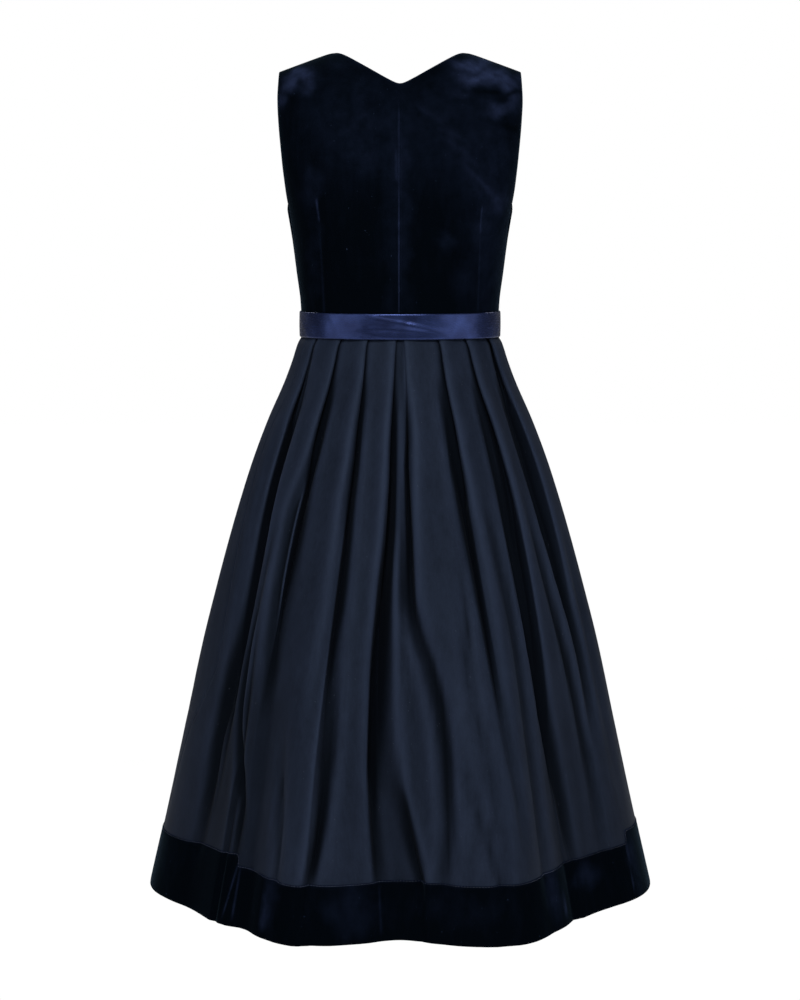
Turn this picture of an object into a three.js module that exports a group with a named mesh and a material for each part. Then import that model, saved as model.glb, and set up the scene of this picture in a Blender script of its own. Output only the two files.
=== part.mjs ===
import * as THREE from 'three';

// A dirndl: a sleeveless velvet bodice, a pleated skirt with a velvet border, and an apron whose
// ribbon goes round the waist. Millimetres, +Z up. The wearer faces +Y and has +X at the right
// hand. The origin lies between the shoulders, level with the two neck points.
// A place round the body is its turn in degrees: 0 at the centre back, 90 at the right side,
// 180 at the centre front and -90 or 270 at the left side.

// ---------------------------------------------------------------- driving sizes

const seamGap = 0.3; // between two pieces that are sewn together
const wall = { velvet: 1.8, skirt: 1.2, border: 2, ribbon: 1.4, apron: 1 };
const level = {
  shoulderTip: -23.2,
  underarm: -193,
  ribbonTop: -317.4,
  waist: -340,
  ribbonFoot: -348.6,
  apronFoot: -950,
  borderTop: -978,
  hem: -1046,
};
const neckHalfWidth = 80; // from the centre to the neck point
const shoulderTipX = 149; // from the centre to the shoulder tip
const shoulderFall = 0.362; // the shoulder's drop for each millimetre outwards
const shoulderFrom = -75; // the height from which the cloth turns over the shoulder
const frontNeckDepth = 160; // the front neckline's depth below the neck points

// The oval sections of the bodice. The corners are squarer as "square" grows from 2, an ellipse.
const figure = [
  { z: 5, halfWidth: 156, back: 62, front: 58, square: 2.7 },
  { z: -58, halfWidth: 156, back: 87, front: 76, square: 2.7 },
  { z: -82, halfWidth: 155, back: 95, front: 86, square: 2.7 },
  { z: -108, halfWidth: 153, back: 102, front: 96, square: 2.7 },
  { z: -131, halfWidth: 150, back: 107, front: 104, square: 2.65 },
  { z: -155, halfWidth: 146, back: 110, front: 110, square: 2.6 },
  { z: -193, halfWidth: 139.5, back: 112, front: 115, square: 2.45 },
  { z: -230, halfWidth: 133.5, back: 109, front: 113, square: 2.35 },
  { z: -270, halfWidth: 128.5, back: 102, front: 102, square: 2.25 },
  { z: -306, halfWidth: 124, back: 96, front: 94, square: 2.2 },
  { z: -340, halfWidth: 122.4, back: 93, front: 92, square: 2.2 },
];
const bust = { x: 70, z: -212, rise: 13, spreadX: 40, spreadZ: 46 };

// The side seam, and the armhole's edges above it, as turns from the centre back and for the
// front's edge from the centre front.
const sideSeam = [
  { z: -193, turn: 76 },
  { z: -215, turn: 78 },
  { z: -250, turn: 85 },
  { z: -340, turn: 87 },
];
const backArmhole = [
  { z: -23.2, turn: 70 },
  { z: -58, turn: 71.5 },
  { z: -108, turn: 71 },
  { z: -155, turn: 75 },
  { z: -178, turn: 77 },
  { z: -193, turn: 76 },
];
const frontArmhole = [
  { z: -23.2, turn: 70 },
  { z: -60, turn: 66 },
  { z: -110, turn: 64 },
  { z: -145, turn: 67 },
  { z: -168, turn: 73 },
  { z: -181, turn: 80 },
  { z: -188, turn: 88 },
  { z: -191.5, turn: 96 },
  { z: -193, turn: 104 },
];
const backColumns = [0, 10, 24, 42, 60, 73, 80, 90, 104, 120, 135, 149]; // x along the top edge
const frontColumns = [0, 16, 34, 50, 62, 71, 76, 80, 92, 106, 122, 136, 149];
const backRows = [-340, -306, -270, -236, -212, -193, -178, -155, -120, -85, -60, -42, -31, -25, -23.2];
const frontRows = [
  -340, -306, -270, -236, -212, -193, -191.5, -188, -181, -168, -145, -110, -75, -50, -35, -26, -23.2,
];

// The oval sections of the skirt below the waist seam.
const skirtSections = [
  { z: -340, halfWidth: 121.6, back: 92.2, front: 91.2, square: 2.2 },
  { z: -349, halfWidth: 122.6, back: 93.2, front: 92.2, square: 2.2 },
  { z: -356, halfWidth: 126.5, back: 96.5, front: 95, square: 2.2 },
  { z: -380, halfWidth: 134.5, back: 104, front: 101, square: 2.15 },
  { z: -404, halfWidth: 143.5, back: 113, front: 107, square: 2.1 },
  { z: -454, halfWidth: 165.5, back: 132, front: 122, square: 2.05 },
  { z: -504, halfWidth: 184.5, back: 150, front: 137, square: 2 },
  { z: -555, halfWidth: 201, back: 165, front: 152, square: 2 },
  { z: -606, halfWidth: 216, back: 179, front: 165, square: 2 },
  { z: -657, halfWidth: 230, back: 192, front: 178, square: 2 },
  { z: -734, halfWidth: 250, back: 211, front: 197, square: 2 },
  { z: -837, halfWidth: 272.5, back: 236, front: 222, square: 2 },
  { z: -941, halfWidth: 295.5, back: 261, front: 245, square: 2 },
  { z: -1046, halfWidth: 320, back: 285, front: 268, square: 2 },
];

// The soft waves of the hem, that grow below the hips. Each lifts the cloth out of the oval.
const waves = [
  { turn: -60, rise: -24, spread: 16 },
  { turn: -38, rise: -12, spread: 5 },
  { turn: -21.5, rise: 19, spread: 8.5 },
  { turn: 0, rise: -27, spread: 8.5 },
  { turn: 23.5, rise: 22, spread: 10.5 },
  { turn: 55, rise: -29, spread: 17 },
  { turn: 112, rise: -16, spread: 10 },
  { turn: 136, rise: 17, spread: 11 },
  { turn: 158, rise: -13, spread: 9 },
  { turn: 180, rise: 14, spread: 12 },
  { turn: 204, rise: -15, spread: 10 },
  { turn: 227, rise: 16, spread: 10 },
  { turn: 249, rise: -15, spread: 10 },
];
const wavesFrom = -470;
const wavesFull = -960;

// The pleats. "faces" is 1 where the folded edge points to a growing turn and -1 where it points
// back. "top" and "low" are its turns at the waist and at the hem. The fold laps over the layer
// below it as far down as "opens", its step has fallen away at "fades", and "step" scales it.
const backPleats = [
  { faces: 1, top: -55.5, low: -57.5, opens: -470, fades: -975, step: 1.1 },
  { faces: 1, top: -50.5, low: -45.5, opens: 0, fades: -1400, step: 0.9, starts: -640 },
  { faces: 1, top: -33.7, low: -39.8, opens: -560, fades: -830, step: 1 },
  { faces: 1, top: -16.3, low: -20.6, opens: -600, fades: -1250, step: 0.9 },
  { faces: 1, top: -1.1, low: -6.6, opens: -520, fades: -1000, step: 1.15 },
  { faces: -1, top: 1.1, low: 5.8, opens: -500, fades: -740, step: 1 },
  { faces: -1, top: 13, low: 11.3, opens: 0, fades: -1300, step: 0.7, starts: -560 },
  { faces: -1, top: 20, low: 28.3, opens: -560, fades: -900, step: 0.95 },
  { faces: -1, top: 38.4, low: 47.2, opens: -600, fades: -1400, step: 1 },
  { faces: -1, top: 62.3, low: 69, opens: -440, fades: -760, step: 1.25 },
];
const frontPleats = [
  { faces: 1, top: 118, low: 113, opens: -500, fades: -880, step: 1 },
  { faces: 1, top: 138, low: 136, opens: -560, fades: -1000, step: 0.9 },
  { faces: 1, top: 158, low: 158, opens: -560, fades: -820, step: 1 },
  { faces: -1, top: 202, low: 203, opens: -540, fades: -960, step: 1 },
  { faces: -1, top: 222, low: 226, opens: -600, fades: -800, step: 0.9 },
  { faces: -1, top: 242, low: 248, opens: -500, fades: -900, step: 1 },
];
const pleatSteps = [
  { z: -340, depth: 6 },
  { z: -356, depth: 7 },
  { z: -400, depth: 9.5 },
  { z: -460, depth: 13 },
  { z: -560, depth: 17 },
  { z: -700, depth: 17 },
  { z: -850, depth: 14 },
  { z: -1046, depth: 10 },
];
const pleat = { hemDegree: 5.3, lap: 9, spread: 25, nose: 1.6, shoulder: 5, driftOver: 200, fadeOver: 260 };

const leftSeam = [
  { z: -340, turn: -65 },
  { z: -404, turn: -66 },
  { z: -470, turn: -71 },
  { z: -620, turn: -69.5 },
  { z: -740, turn: -68 },
  { z: -794, turn: -73 },
  { z: -850, turn: -80 },
  { z: -1046, turn: -90 },
];
const rightSeam = [
  { z: -340, turn: 92 },
  { z: -1046, turn: 92 },
];
const skirtRings = [-349, -356, -375, -404, -445, -490, -545, -610, -690, -780, -880];
const borderRings = [-1012];

// ---------------------------------------------------------------- colours

const navyVelvet = new THREE.MeshStandardMaterial({ color: 0x070b1c, roughness: 0.95, metalness: 0 });
const navyCloth = new THREE.MeshStandardMaterial({ color: 0x141b2b, roughness: 0.85, metalness: 0 });
const navySatin = new THREE.MeshStandardMaterial({ color: 0x27305f, roughness: 0.35, metalness: 0 });

// ---------------------------------------------------------------- curves and walls

const radians = THREE.MathUtils.degToRad;
const mix = THREE.MathUtils.lerp;
const ease = (value) => THREE.MathUtils.smoothstep(value, 0, 1);
const bump = (distance, spread) => Math.exp(-((distance / spread) ** 2));

// Reads a column of a table whose rows go down in z, on a curve that never overshoots its rows.
function along(rows, column, z) {
  const last = rows.length - 1;
  if (z >= rows[0].z) return rows[0][column];
  if (z <= rows[last].z) return rows[last][column];
  const slope = (k) => {
    const low = Math.min(Math.max(k, 0), last - 1);
    return (rows[low + 1][column] - rows[low][column]) / (rows[low + 1].z - rows[low].z);
  };
  const tangent = (k) => {
    const before = slope(k - 1);
    const after = slope(k);
    return before * after <= 0 ? 0 : (2 * before * after) / (before + after);
  };
  let k = 0;
  while (rows[k + 1].z > z) k += 1;
  const span = rows[k + 1].z - rows[k].z;
  const t = (z - rows[k].z) / span;
  return (
    (1 + 2 * t) * (1 - t) ** 2 * rows[k][column] +
    t * (1 - t) ** 2 * span * tangent(k) +
    t * t * (3 - 2 * t) * rows[k + 1][column] +
    t * t * (t - 1) * span * tangent(k + 1)
  );
}

// A point of an oval section, with squarer corners as "square" grows from 2.
function ovalPoint(section, turn) {
  const across = Math.sin(radians(turn));
  const towardsBack = Math.cos(radians(turn));
  const depth = towardsBack > 0 ? section.back : section.front;
  const power = 2 / section.square;
  return {
    x: section.halfWidth * Math.sign(across) * Math.abs(across) ** power,
    y: -depth * Math.sign(towardsBack) * Math.abs(towardsBack) ** power,
  };
}

function sectionAt(rows, z) {
  return {
    halfWidth: along(rows, 'halfWidth', z),
    back: along(rows, 'back', z),
    front: along(rows, 'front', z),
    square: along(rows, 'square', z),
  };
}

// A closed wall between two grids of points, outer and inner, that share their rows and columns.
function wallBetween(outer, inner) {
  const rows = outer.length;
  const columns = outer[0].length;
  const positions = [];
  for (const grid of [outer, inner]) {
    for (const row of grid) {
      for (const point of row) positions.push(point.x, point.y, point.z);
    }
  }
  const outside = (row, column) => row * columns + column;
  const inside = (row, column) => rows * columns + row * columns + column;
  const faces = [];
  const quad = (a, b, c, d) => faces.push(a, b, c, a, c, d);
  for (let row = 0; row < rows - 1; row += 1) {
    for (let column = 0; column < columns - 1; column += 1) {
      quad(
        outside(row, column),
        outside(row, column + 1),
        outside(row + 1, column + 1),
        outside(row + 1, column),
      );
      quad(
        inside(row, column),
        inside(row + 1, column),
        inside(row + 1, column + 1),
        inside(row, column + 1),
      );
    }
    quad(outside(row, 0), outside(row + 1, 0), inside(row + 1, 0), inside(row, 0));
    const end = columns - 1;
    quad(outside(row, end), inside(row, end), inside(row + 1, end), outside(row + 1, end));
  }
  for (let column = 0; column < columns - 1; column += 1) {
    const top = rows - 1;
    quad(outside(0, column), inside(0, column), inside(0, column + 1), outside(0, column + 1));
    quad(outside(top, column), outside(top, column + 1), inside(top, column + 1), inside(top, column));
  }
  if (volumeOf(positions, faces) < 0) {
    for (let k = 0; k < faces.length; k += 3) [faces[k], faces[k + 1]] = [faces[k + 1], faces[k]];
  }
  const geometry = new THREE.BufferGeometry();
  geometry.setAttribute('position', new THREE.Float32BufferAttribute(positions, 3));
  geometry.setIndex(faces);
  geometry.computeVertexNormals();
  return geometry;
}

function volumeOf(positions, faces) {
  const corner = (k) => new THREE.Vector3().fromArray(positions, 3 * faces[k]);
  let sum = 0;
  for (let k = 0; k < faces.length; k += 3) {
    sum += corner(k).dot(corner(k + 1).cross(corner(k + 2))) / 6;
  }
  return sum;
}

const dirndl = new THREE.Group();

function addPiece(name, geometry, material) {
  const piece = new THREE.Mesh(geometry, material);
  piece.name = name;
  dirndl.add(piece);
}

// ---------------------------------------------------------------- bodice

// The height of the shoulder ridge, which runs on into the neck.
function shoulderRidge(x) {
  return -shoulderFall * (Math.abs(x) - neckHalfWidth);
}

// The back's top edge: a shallow V that meets the shoulders in two rounded peaks.
function backTop(x) {
  const neckline = -44.5 + 0.6 * Math.hypot(x, 6);
  const soft = 4.2;
  const ridge = shoulderRidge(x) + 1.8;
  return -soft * Math.log(Math.exp(-neckline / soft) + Math.exp(-ridge / soft));
}

// The front's top edge: a plain scoop from the same peaks.
function frontTop(x) {
  if (Math.abs(x) >= neckHalfWidth) return backTop(x);
  return mix(-frontNeckDepth, backTop(neckHalfWidth), (Math.abs(x) / neckHalfWidth) ** 2.8);
}

// A point of the bodice's outer side, where the half that faces the back is "side" 1 and the
// half that faces the front is -1. Near the ridge the surface turns over the shoulder.
function bodicePoint(side, turnFromCentre, z) {
  const section = sectionAt(figure, z);
  const turn = side > 0 ? turnFromCentre : 180 - turnFromCentre;
  const point = ovalPoint(section, turn);
  const ridge = Math.abs(point.x) >= neckHalfWidth ? backTop(point.x) : shoulderRidge(point.x);
  const up = Math.min(Math.max((z - shoulderFrom) / (ridge - shoulderFrom), 0), 1);
  point.y *= Math.sqrt(1 - up * up);
  if (point.y > 0) {
    const swell = bump(Math.abs(point.x) - bust.x, bust.spreadX) * bump(z - bust.z, bust.spreadZ);
    point.y += bust.rise * swell * Math.sqrt(Math.max(1 - (point.x / section.halfWidth) ** 2, 0));
  }
  return new THREE.Vector3(point.x, point.y, z);
}

function bodiceNormal(side, turn, z) {
  const step = 0.5;
  const across = bodicePoint(side, turn + step, z).sub(bodicePoint(side, turn - step, z));
  const up = bodicePoint(side, turn, z).sub(bodicePoint(side, turn, z - step));
  return across.cross(up).normalize().multiplyScalar(side);
}

// The outer edge of a half at a height: the side seam up to the underarm, then the armhole.
function edgeTurn(side, z) {
  if (z > level.underarm) return along(side > 0 ? backArmhole : frontArmhole, 'turn', z);
  const seam = along(sideSeam, 'turn', z);
  return side > 0 ? seam : 180 - seam;
}

// One half of the back or the front, for the right side of the body, as two grids of points.
function bodiceHalf(side, topEdge, columns, heights) {
  const seamTurn = 0.08; // half of the seam's gap, as degrees at the side seam
  const tipHeight = level.shoulderTip;
  const outer = [];
  const inner = [];
  for (const height of heights) {
    const rise = (height - level.waist) / (tipHeight - level.waist);
    const outerRow = [];
    const innerRow = [];
    for (const x of columns) {
      const top = topEdge(x);
      const z = level.waist + rise * (top - level.waist);
      const share = turnAt(x, top) / turnAt(shoulderTipX, topEdge(shoulderTipX));
      const turn = share * (edgeTurn(side, z) - seamTurn);
      const point = bodicePoint(side, turn, z);
      const within = point.clone().addScaledVector(bodiceNormal(side, turn, z), -wall.velvet);
      if (rise === 0) {
        point.z += seamGap / 2;
        within.z = point.z;
      }
      for (const corner of [point, within]) {
        if (x === 0) corner.x = seamGap / 2;
        if (z > shoulderFrom) corner.y = -side * Math.max(-side * corner.y, seamGap / 2);
      }
      outerRow.push(point);
      innerRow.push(within);
    }
    outer.push(outerRow);
    inner.push(innerRow);
  }
  return { outer, inner };
}

// The turn from the centre at which the section at a height reaches x.
function turnAt(x, z) {
  const section = sectionAt(figure, z);
  return THREE.MathUtils.radToDeg(Math.asin((x / section.halfWidth) ** (section.square / 2)));
}

function mirrored(grid) {
  return grid.map((row) => row.map((point) => new THREE.Vector3(-point.x, point.y, point.z)));
}

function addBodice() {
  const back = bodiceHalf(1, backTop, backColumns, backRows);
  const front = bodiceHalf(-1, frontTop, frontColumns, frontRows);
  addPiece('bodice_back_right', wallBetween(back.outer, back.inner), navyVelvet);
  addPiece('bodice_back_left', wallBetween(mirrored(back.outer), mirrored(back.inner)), navyVelvet);
  addPiece('bodice_front_right', wallBetween(front.outer, front.inner), navyVelvet);
  addPiece('bodice_front_left', wallBetween(mirrored(front.outer), mirrored(front.inner)), navyVelvet);
}

addBodice();

// ---------------------------------------------------------------- skirt and border

// A point of the skirt's smooth form, with the hem's waves but without the pleats.
function skirtForm(turn, z) {
  const point = ovalPoint(sectionAt(skirtSections, z), turn);
  const grown = ease((wavesFrom - z) / (wavesFrom - wavesFull));
  let rise = 0;
  for (const wave of waves) {
    const away = ((turn - wave.turn + 540) % 360) - 180;
    rise += wave.rise * grown * bump(away, wave.spread);
  }
  const radius = Math.hypot(point.x, point.y);
  return new THREE.Vector2(point.x, point.y).multiplyScalar(1 + rise / radius);
}

function skirtOutwards(turn, z) {
  const along = skirtForm(turn + 0.5, z).sub(skirtForm(turn - 0.5, z)).normalize();
  return new THREE.Vector2(along.y, -along.x);
}

function skirtPoint(turn, sink, z) {
  return skirtForm(turn, z).addScaledVector(skirtOutwards(turn, z), -sink);
}

// The stations of one pleat at a height, from the lower to the higher turn: how far round they
// lie and how far they sink below the top layer.
function pleatStations(fold, z) {
  const below = level.waist - z;
  const drift = 1 - Math.exp(-below / pleat.driftOver);
  const edge = mix(fold.top, fold.low, drift);
  const size = skirtForm(edge + 0.5, z).distanceTo(skirtForm(edge - 0.5, z));
  const begun = fold.starts ? ease((fold.starts - z) / 200) : 1;
  const left = ease((z - fold.fades) / pleat.fadeOver);
  const depth = along(pleatSteps, 'depth', z) * fold.step * begun * left;
  const lapped = fold.starts ? 0 : Math.max((z - fold.opens) / (level.waist - fold.opens), 0);
  const girth = size / pleat.hemDegree;
  const opened = fold.starts ? 0.6 * girth : Math.max((fold.opens - z) / (fold.opens - level.hem), 0);
  const lap = pleat.lap * lapped - pleat.spread * opened;
  const folded = ease(lapped * 4);
  const nose = pleat.nose * folded;
  const crest = -(nose + (folded * wall.skirt) / 2);
  const valley = crest - lap;
  const apart = Math.max(-lap, 0);
  const shoulder = fold.starts ? pleat.shoulder * girth : pleat.shoulder;
  const stations = [
    { shift: crest - shoulder, sink: 0 },
    { shift: crest, sink: 0.04 * depth },
    { shift: crest + nose + apart / 5, sink: 0.25 * depth },
    { shift: (crest + valley) / 2, sink: 0.5 * depth },
    { shift: valley - nose - apart / 5, sink: 0.75 * depth },
    { shift: valley, sink: 0.96 * depth },
    { shift: valley + shoulder, sink: depth },
  ];
  for (const station of stations) station.turn = edge + (fold.faces * station.shift) / size;
  return fold.faces > 0 ? stations : stations.reverse();
}

// All stations of a ring between two seams. The cloth between two pleats rises from the lower
// layer of the one to the folded edge of the next.
function ringStations(folds, from, to, z) {
  const between = 2;
  const ring = [{ turn: from, sink: 0 }];
  const bridge = (target) => {
    const start = ring[ring.length - 1];
    for (let k = 1; k <= between; k += 1) {
      const share = k / (between + 1);
      ring.push({
        turn: mix(start.turn, target.turn, share),
        sink: mix(start.sink, target.sink, ease(share)),
      });
    }
  };
  for (const fold of folds) {
    const stations = pleatStations(fold, z);
    bridge(stations[0]);
    ring.push(...stations);
  }
  const end = { turn: to, sink: 0 };
  bridge(end);
  ring.push(end);
  return ring;
}

// The two sides of a wall along a ring of points, with its corners mitred.
function ringWall(points, thickness, lift, z) {
  const outerRow = [];
  const innerRow = [];
  const last = points.length - 1;
  const leftOf = (a, b) => {
    const step = b.clone().sub(a).normalize();
    return new THREE.Vector2(step.y, -step.x);
  };
  points.forEach((point, k) => {
    const before = leftOf(points[Math.max(k - 1, 0)], points[Math.max(k, 1)]);
    const after = leftOf(points[Math.min(k, last - 1)], points[Math.min(k + 1, last)]);
    const out = before.clone().add(after).normalize();
    const mitre = Math.min(1 / Math.max(out.dot(after), 0.1), 1.5);
    const place = (offset) => point.clone().addScaledVector(out, offset * mitre);
    const outside = place(lift + thickness / 2);
    const inside = place(lift - thickness / 2);
    outerRow.push(new THREE.Vector3(outside.x, outside.y, z));
    innerRow.push(new THREE.Vector3(inside.x, inside.y, z));
  });
  return { outerRow, innerRow };
}

function skirtWall(folds, seamFrom, seamTo, { heights, thickness, lift }) {
  const outer = [];
  const inner = [];
  for (const z of heights) {
    const section = sectionAt(skirtSections, z);
    const halfGap = THREE.MathUtils.radToDeg(seamGap / 2 / section.back);
    const from = seamFrom(z) + halfGap;
    const to = seamTo(z) - halfGap;
    const points = ringStations(folds, from, to, z).map(({ turn, sink }) => skirtPoint(turn, sink, z));
    const { outerRow, innerRow } = ringWall(points, thickness, lift, z);
    outer.push(outerRow);
    inner.push(innerRow);
  }
  return wallBetween(outer, inner);
}

function addSkirt() {
  const left = (z) => along(leftSeam, 'turn', z);
  const right = (z) => along(rightSeam, 'turn', z);
  const leftFromFront = (z) => 360 + left(z);
  const half = seamGap / 2;
  const cloth = {
    heights: [level.waist - half, ...skirtRings, level.borderTop + half],
    thickness: wall.skirt,
    lift: 0,
  };
  const border = {
    heights: [level.borderTop - half, ...borderRings, level.hem],
    thickness: wall.border,
    lift: (wall.border - wall.skirt) / 2,
  };
  addPiece('skirt_back', skirtWall(backPleats, left, right, cloth), navyCloth);
  addPiece('skirt_front', skirtWall(frontPleats, right, leftFromFront, cloth), navyCloth);
  addPiece('border_back', skirtWall(backPleats, left, right, border), navyVelvet);
  addPiece('border_front', skirtWall(frontPleats, right, leftFromFront, border), navyVelvet);
}

addSkirt();

// ---------------------------------------------------------------- ribbon, apron and bow

const ribbonSection = { halfWidth: 124.9, back: 96.1, front: 95, square: 2.2 };
const ribbon = { step: 8, frontFrom: 92, frontTo: 268 };
const apron = {
  top: { from: 112, to: 248 },
  foot: { from: 103, to: 257 },
  folds: 9, // soft gathers across the panel
  foldDepth: 3.5,
  columnsPerFold: 3,
  rings: [-360, -385, -425, -480, -550, -640, -740, -850],
};
// How far the apron's middle surface lies outside the skirt's form.
const apronLift = [
  { z: -349, lift: 2.6 },
  { z: -385, lift: 4.5 },
  { z: -480, lift: 6 },
  { z: -950, lift: 8 },
];
const bow = {
  turn: 197, // on the wearer's left of the centre front
  z: -333,
  knot: { halfWidth: 9, halfDepth: 5.5, halfHeight: 17 },
  loopWidth: { root: 18, tip: 31 },
  droop: 0.14,
  tail: { width: 28, foot: -650, swing: 14 },
};
// One loop of the bow from above: its path out along the ribbon and back, and how far it
// stands off the ribbon's middle surface.
const loopPath = [
  { out: 8.8, off: 4.6 },
  { out: 26, off: 3.6 },
  { out: 48, off: 4.6 },
  { out: 64, off: 8 },
  { out: 72, off: 13.5 },
  { out: 70, off: 19 },
  { out: 58, off: 21.5 },
  { out: 38, off: 18 },
  { out: 20, off: 11.5 },
  { out: 8.8, off: 8.4 },
];

function ribbonPoint(turn, off) {
  const at = (place) => {
    const point = ovalPoint(ribbonSection, place);
    return new THREE.Vector2(point.x, point.y);
  };
  const forward = at(turn + 0.5).sub(at(turn - 0.5)).normalize();
  return at(turn).addScaledVector(new THREE.Vector2(forward.y, -forward.x), off);
}

function addRibbon() {
  const halfGap = THREE.MathUtils.radToDeg(seamGap / 2 / ribbonSection.back);
  const part = (name, from, to) => {
    const count = Math.round((to - from) / ribbon.step);
    const points = [];
    for (let k = 0; k <= count; k += 1) {
      points.push(ribbonPoint(mix(from + halfGap, to - halfGap, k / count), 0));
    }
    const rows = [level.ribbonTop, level.ribbonFoot].map((z) => ringWall(points, wall.ribbon, 0, z));
    addPiece(name, wallBetween(rows.map((row) => row.outerRow), rows.map((row) => row.innerRow)), navySatin);
  };
  part('ribbon_back', ribbon.frontTo - 360, ribbon.frontFrom);
  part('ribbon_front', ribbon.frontFrom, ribbon.frontTo);
}

// A point of the apron's middle surface, or of a surface that lies further out over its gathers.
function apronPoint(turn, z, off) {
  const lift = along(apronLift, 'lift', z) + off;
  return skirtForm(turn, z).addScaledVector(skirtOutwards(turn, z), lift);
}

function addApron() {
  const columns = apron.folds * apron.columnsPerFold;
  const outer = [];
  const inner = [];
  for (const z of [level.ribbonFoot - seamGap, ...apron.rings, level.apronFoot]) {
    const down = (level.ribbonFoot - z) / (level.ribbonFoot - level.apronFoot);
    const gathered = mix(0.15, 1, ease(down * 6));
    const points = [];
    for (let k = 0; k <= columns; k += 1) {
      const share = k / columns;
      const from = mix(apron.top.from, apron.foot.from, down);
      const to = mix(apron.top.to, apron.foot.to, down);
      const turn = mix(from, to, share);
      const wave = Math.cos(2 * Math.PI * apron.folds * share) * Math.sin(Math.PI * share);
      points.push(apronPoint(turn, z, (apron.foldDepth * gathered * wave) / 2));
    }
    const { outerRow, innerRow } = ringWall(points, wall.apron, 0, z);
    outer.push(outerRow);
    inner.push(innerRow);
  }
  addPiece('apron_panel', wallBetween(outer, inner), navyCloth);
}

function addKnot() {
  const { halfWidth, halfDepth, halfHeight } = bow.knot;
  const geometry = new THREE.SphereGeometry(1, 12, 8);
  geometry.scale(halfWidth, halfDepth, halfHeight);
  geometry.rotateZ(radians(bow.turn - 180));
  const centre = ribbonPoint(bow.turn, wall.ribbon / 2 + seamGap + halfDepth);
  geometry.translate(centre.x, centre.y, bow.z);
  addPiece('bow_knot', geometry, navySatin);
}

// A loop is a strip of ribbon that goes out and comes back. Its ends lie beside the knot.
function addLoop(name, direction) {
  const size = ribbonPoint(bow.turn + 0.5, 0).distanceTo(ribbonPoint(bow.turn - 0.5, 0));
  const points = loopPath.map(({ out, off }) => ribbonPoint(bow.turn + (direction * out) / size, off));
  const flat = ringWall(points, wall.ribbon, 0, 0);
  const rowAt = (row, half) =>
    row.map((point, k) => {
      const { out } = loopPath[k];
      const width = mix(bow.loopWidth.root, bow.loopWidth.tip, ease(out / 55));
      return new THREE.Vector3(point.x, point.y, bow.z - bow.droop * out + (half * width) / 2);
    });
  const grid = (row) => [rowAt(row, 1), rowAt(row, 0), rowAt(row, -1)];
  addPiece(name, wallBetween(grid(flat.outerRow), grid(flat.innerRow)), navySatin);
}

// A tail hangs from under the knot over the apron's gathers.
function addTail(name, direction) {
  const knotFoot = bow.z - bow.knot.halfHeight;
  const heights = [knotFoot - seamGap, -362, -385, -430, -500, -570, bow.tail.foot];
  const columns = 3;
  const outer = [];
  const inner = [];
  heights.forEach((z, row) => {
    const down = (knotFoot - z) / (knotFoot - bow.tail.foot);
    const width = mix(9, bow.tail.width, ease(down * 5));
    const middle = direction * (mix(5.2, 4 + bow.tail.width / 2, ease(down * 5)) + bow.tail.swing * down);
    const size = skirtForm(bow.turn + 0.5, z).distanceTo(skirtForm(bow.turn - 0.5, z));
    const points = [];
    for (let k = 0; k <= columns; k += 1) {
      const turn = bow.turn + (middle + width * (k / columns - 0.5)) / size;
      const knotMiddle = wall.ribbon / 2 + seamGap + bow.knot.halfDepth;
      points.push(row === 0 ? ribbonPoint(turn, knotMiddle) : apronPoint(turn, z, apron.foldDepth / 2 + 3));
    }
    const { outerRow, innerRow } = ringWall(points, wall.ribbon, 0, z);
    outer.push(outerRow);
    inner.push(innerRow);
  });
  addPiece(name, wallBetween(outer, inner), navySatin);
}

addRibbon();
addApron();
addKnot();
for (const [hand, direction] of [['left', 1], ['right', -1]]) {
  addLoop(`bow_loop_${hand}`, direction);
  addTail(`bow_tail_${hand}`, direction);
}

export default dirndl;
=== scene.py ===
# %% [markdown]
# # A velvet dirndl
#
# A dirndl is a dress in two halves. A fitted bodice, here of velvet, is sewn at the waist to a wide
# skirt whose cloth is laid in pleats. An apron goes over it, and its ribbon runs round the waist.
# This lesson dresses a plain frame of solids with cloth that has folds, seams, nap and weave.
# All patterns below are in millimetres, as a maker writes them, and turn into metres in the mesh.

# %% The frame
import math

import bpy
import numpy as np
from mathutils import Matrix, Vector


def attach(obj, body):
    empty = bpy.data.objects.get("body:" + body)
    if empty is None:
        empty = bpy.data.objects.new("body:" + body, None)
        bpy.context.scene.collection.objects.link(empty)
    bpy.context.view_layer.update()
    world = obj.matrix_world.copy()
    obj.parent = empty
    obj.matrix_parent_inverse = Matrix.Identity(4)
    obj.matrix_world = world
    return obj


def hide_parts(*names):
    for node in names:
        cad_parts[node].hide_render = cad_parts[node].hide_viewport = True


MM = 0.001
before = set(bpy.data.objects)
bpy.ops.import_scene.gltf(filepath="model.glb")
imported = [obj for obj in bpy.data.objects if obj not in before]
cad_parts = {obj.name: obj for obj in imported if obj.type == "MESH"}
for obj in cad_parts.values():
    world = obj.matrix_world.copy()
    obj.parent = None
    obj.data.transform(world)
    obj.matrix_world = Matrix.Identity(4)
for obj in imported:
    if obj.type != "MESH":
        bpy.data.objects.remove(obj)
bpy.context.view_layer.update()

# %% [markdown]
# ## The camera
#
# A dress is pictured from some way off with a long lens, so that its hem isn't seen from above
# much. The lens follows from the distance and from the height that the picture has to cover.

# %% Camera
SENSOR = 36.0  # millimetres, along the picture's long side
VIEW_HEIGHT = 1.26  # metres that the picture covers where the camera aims
DISTANCE = 3.0
CAMERA_RISE = math.radians(6.7)
aim = Vector((0, 0, -0.555))
towards_camera = Vector((0, -math.cos(CAMERA_RISE), math.sin(CAMERA_RISE)))

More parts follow.
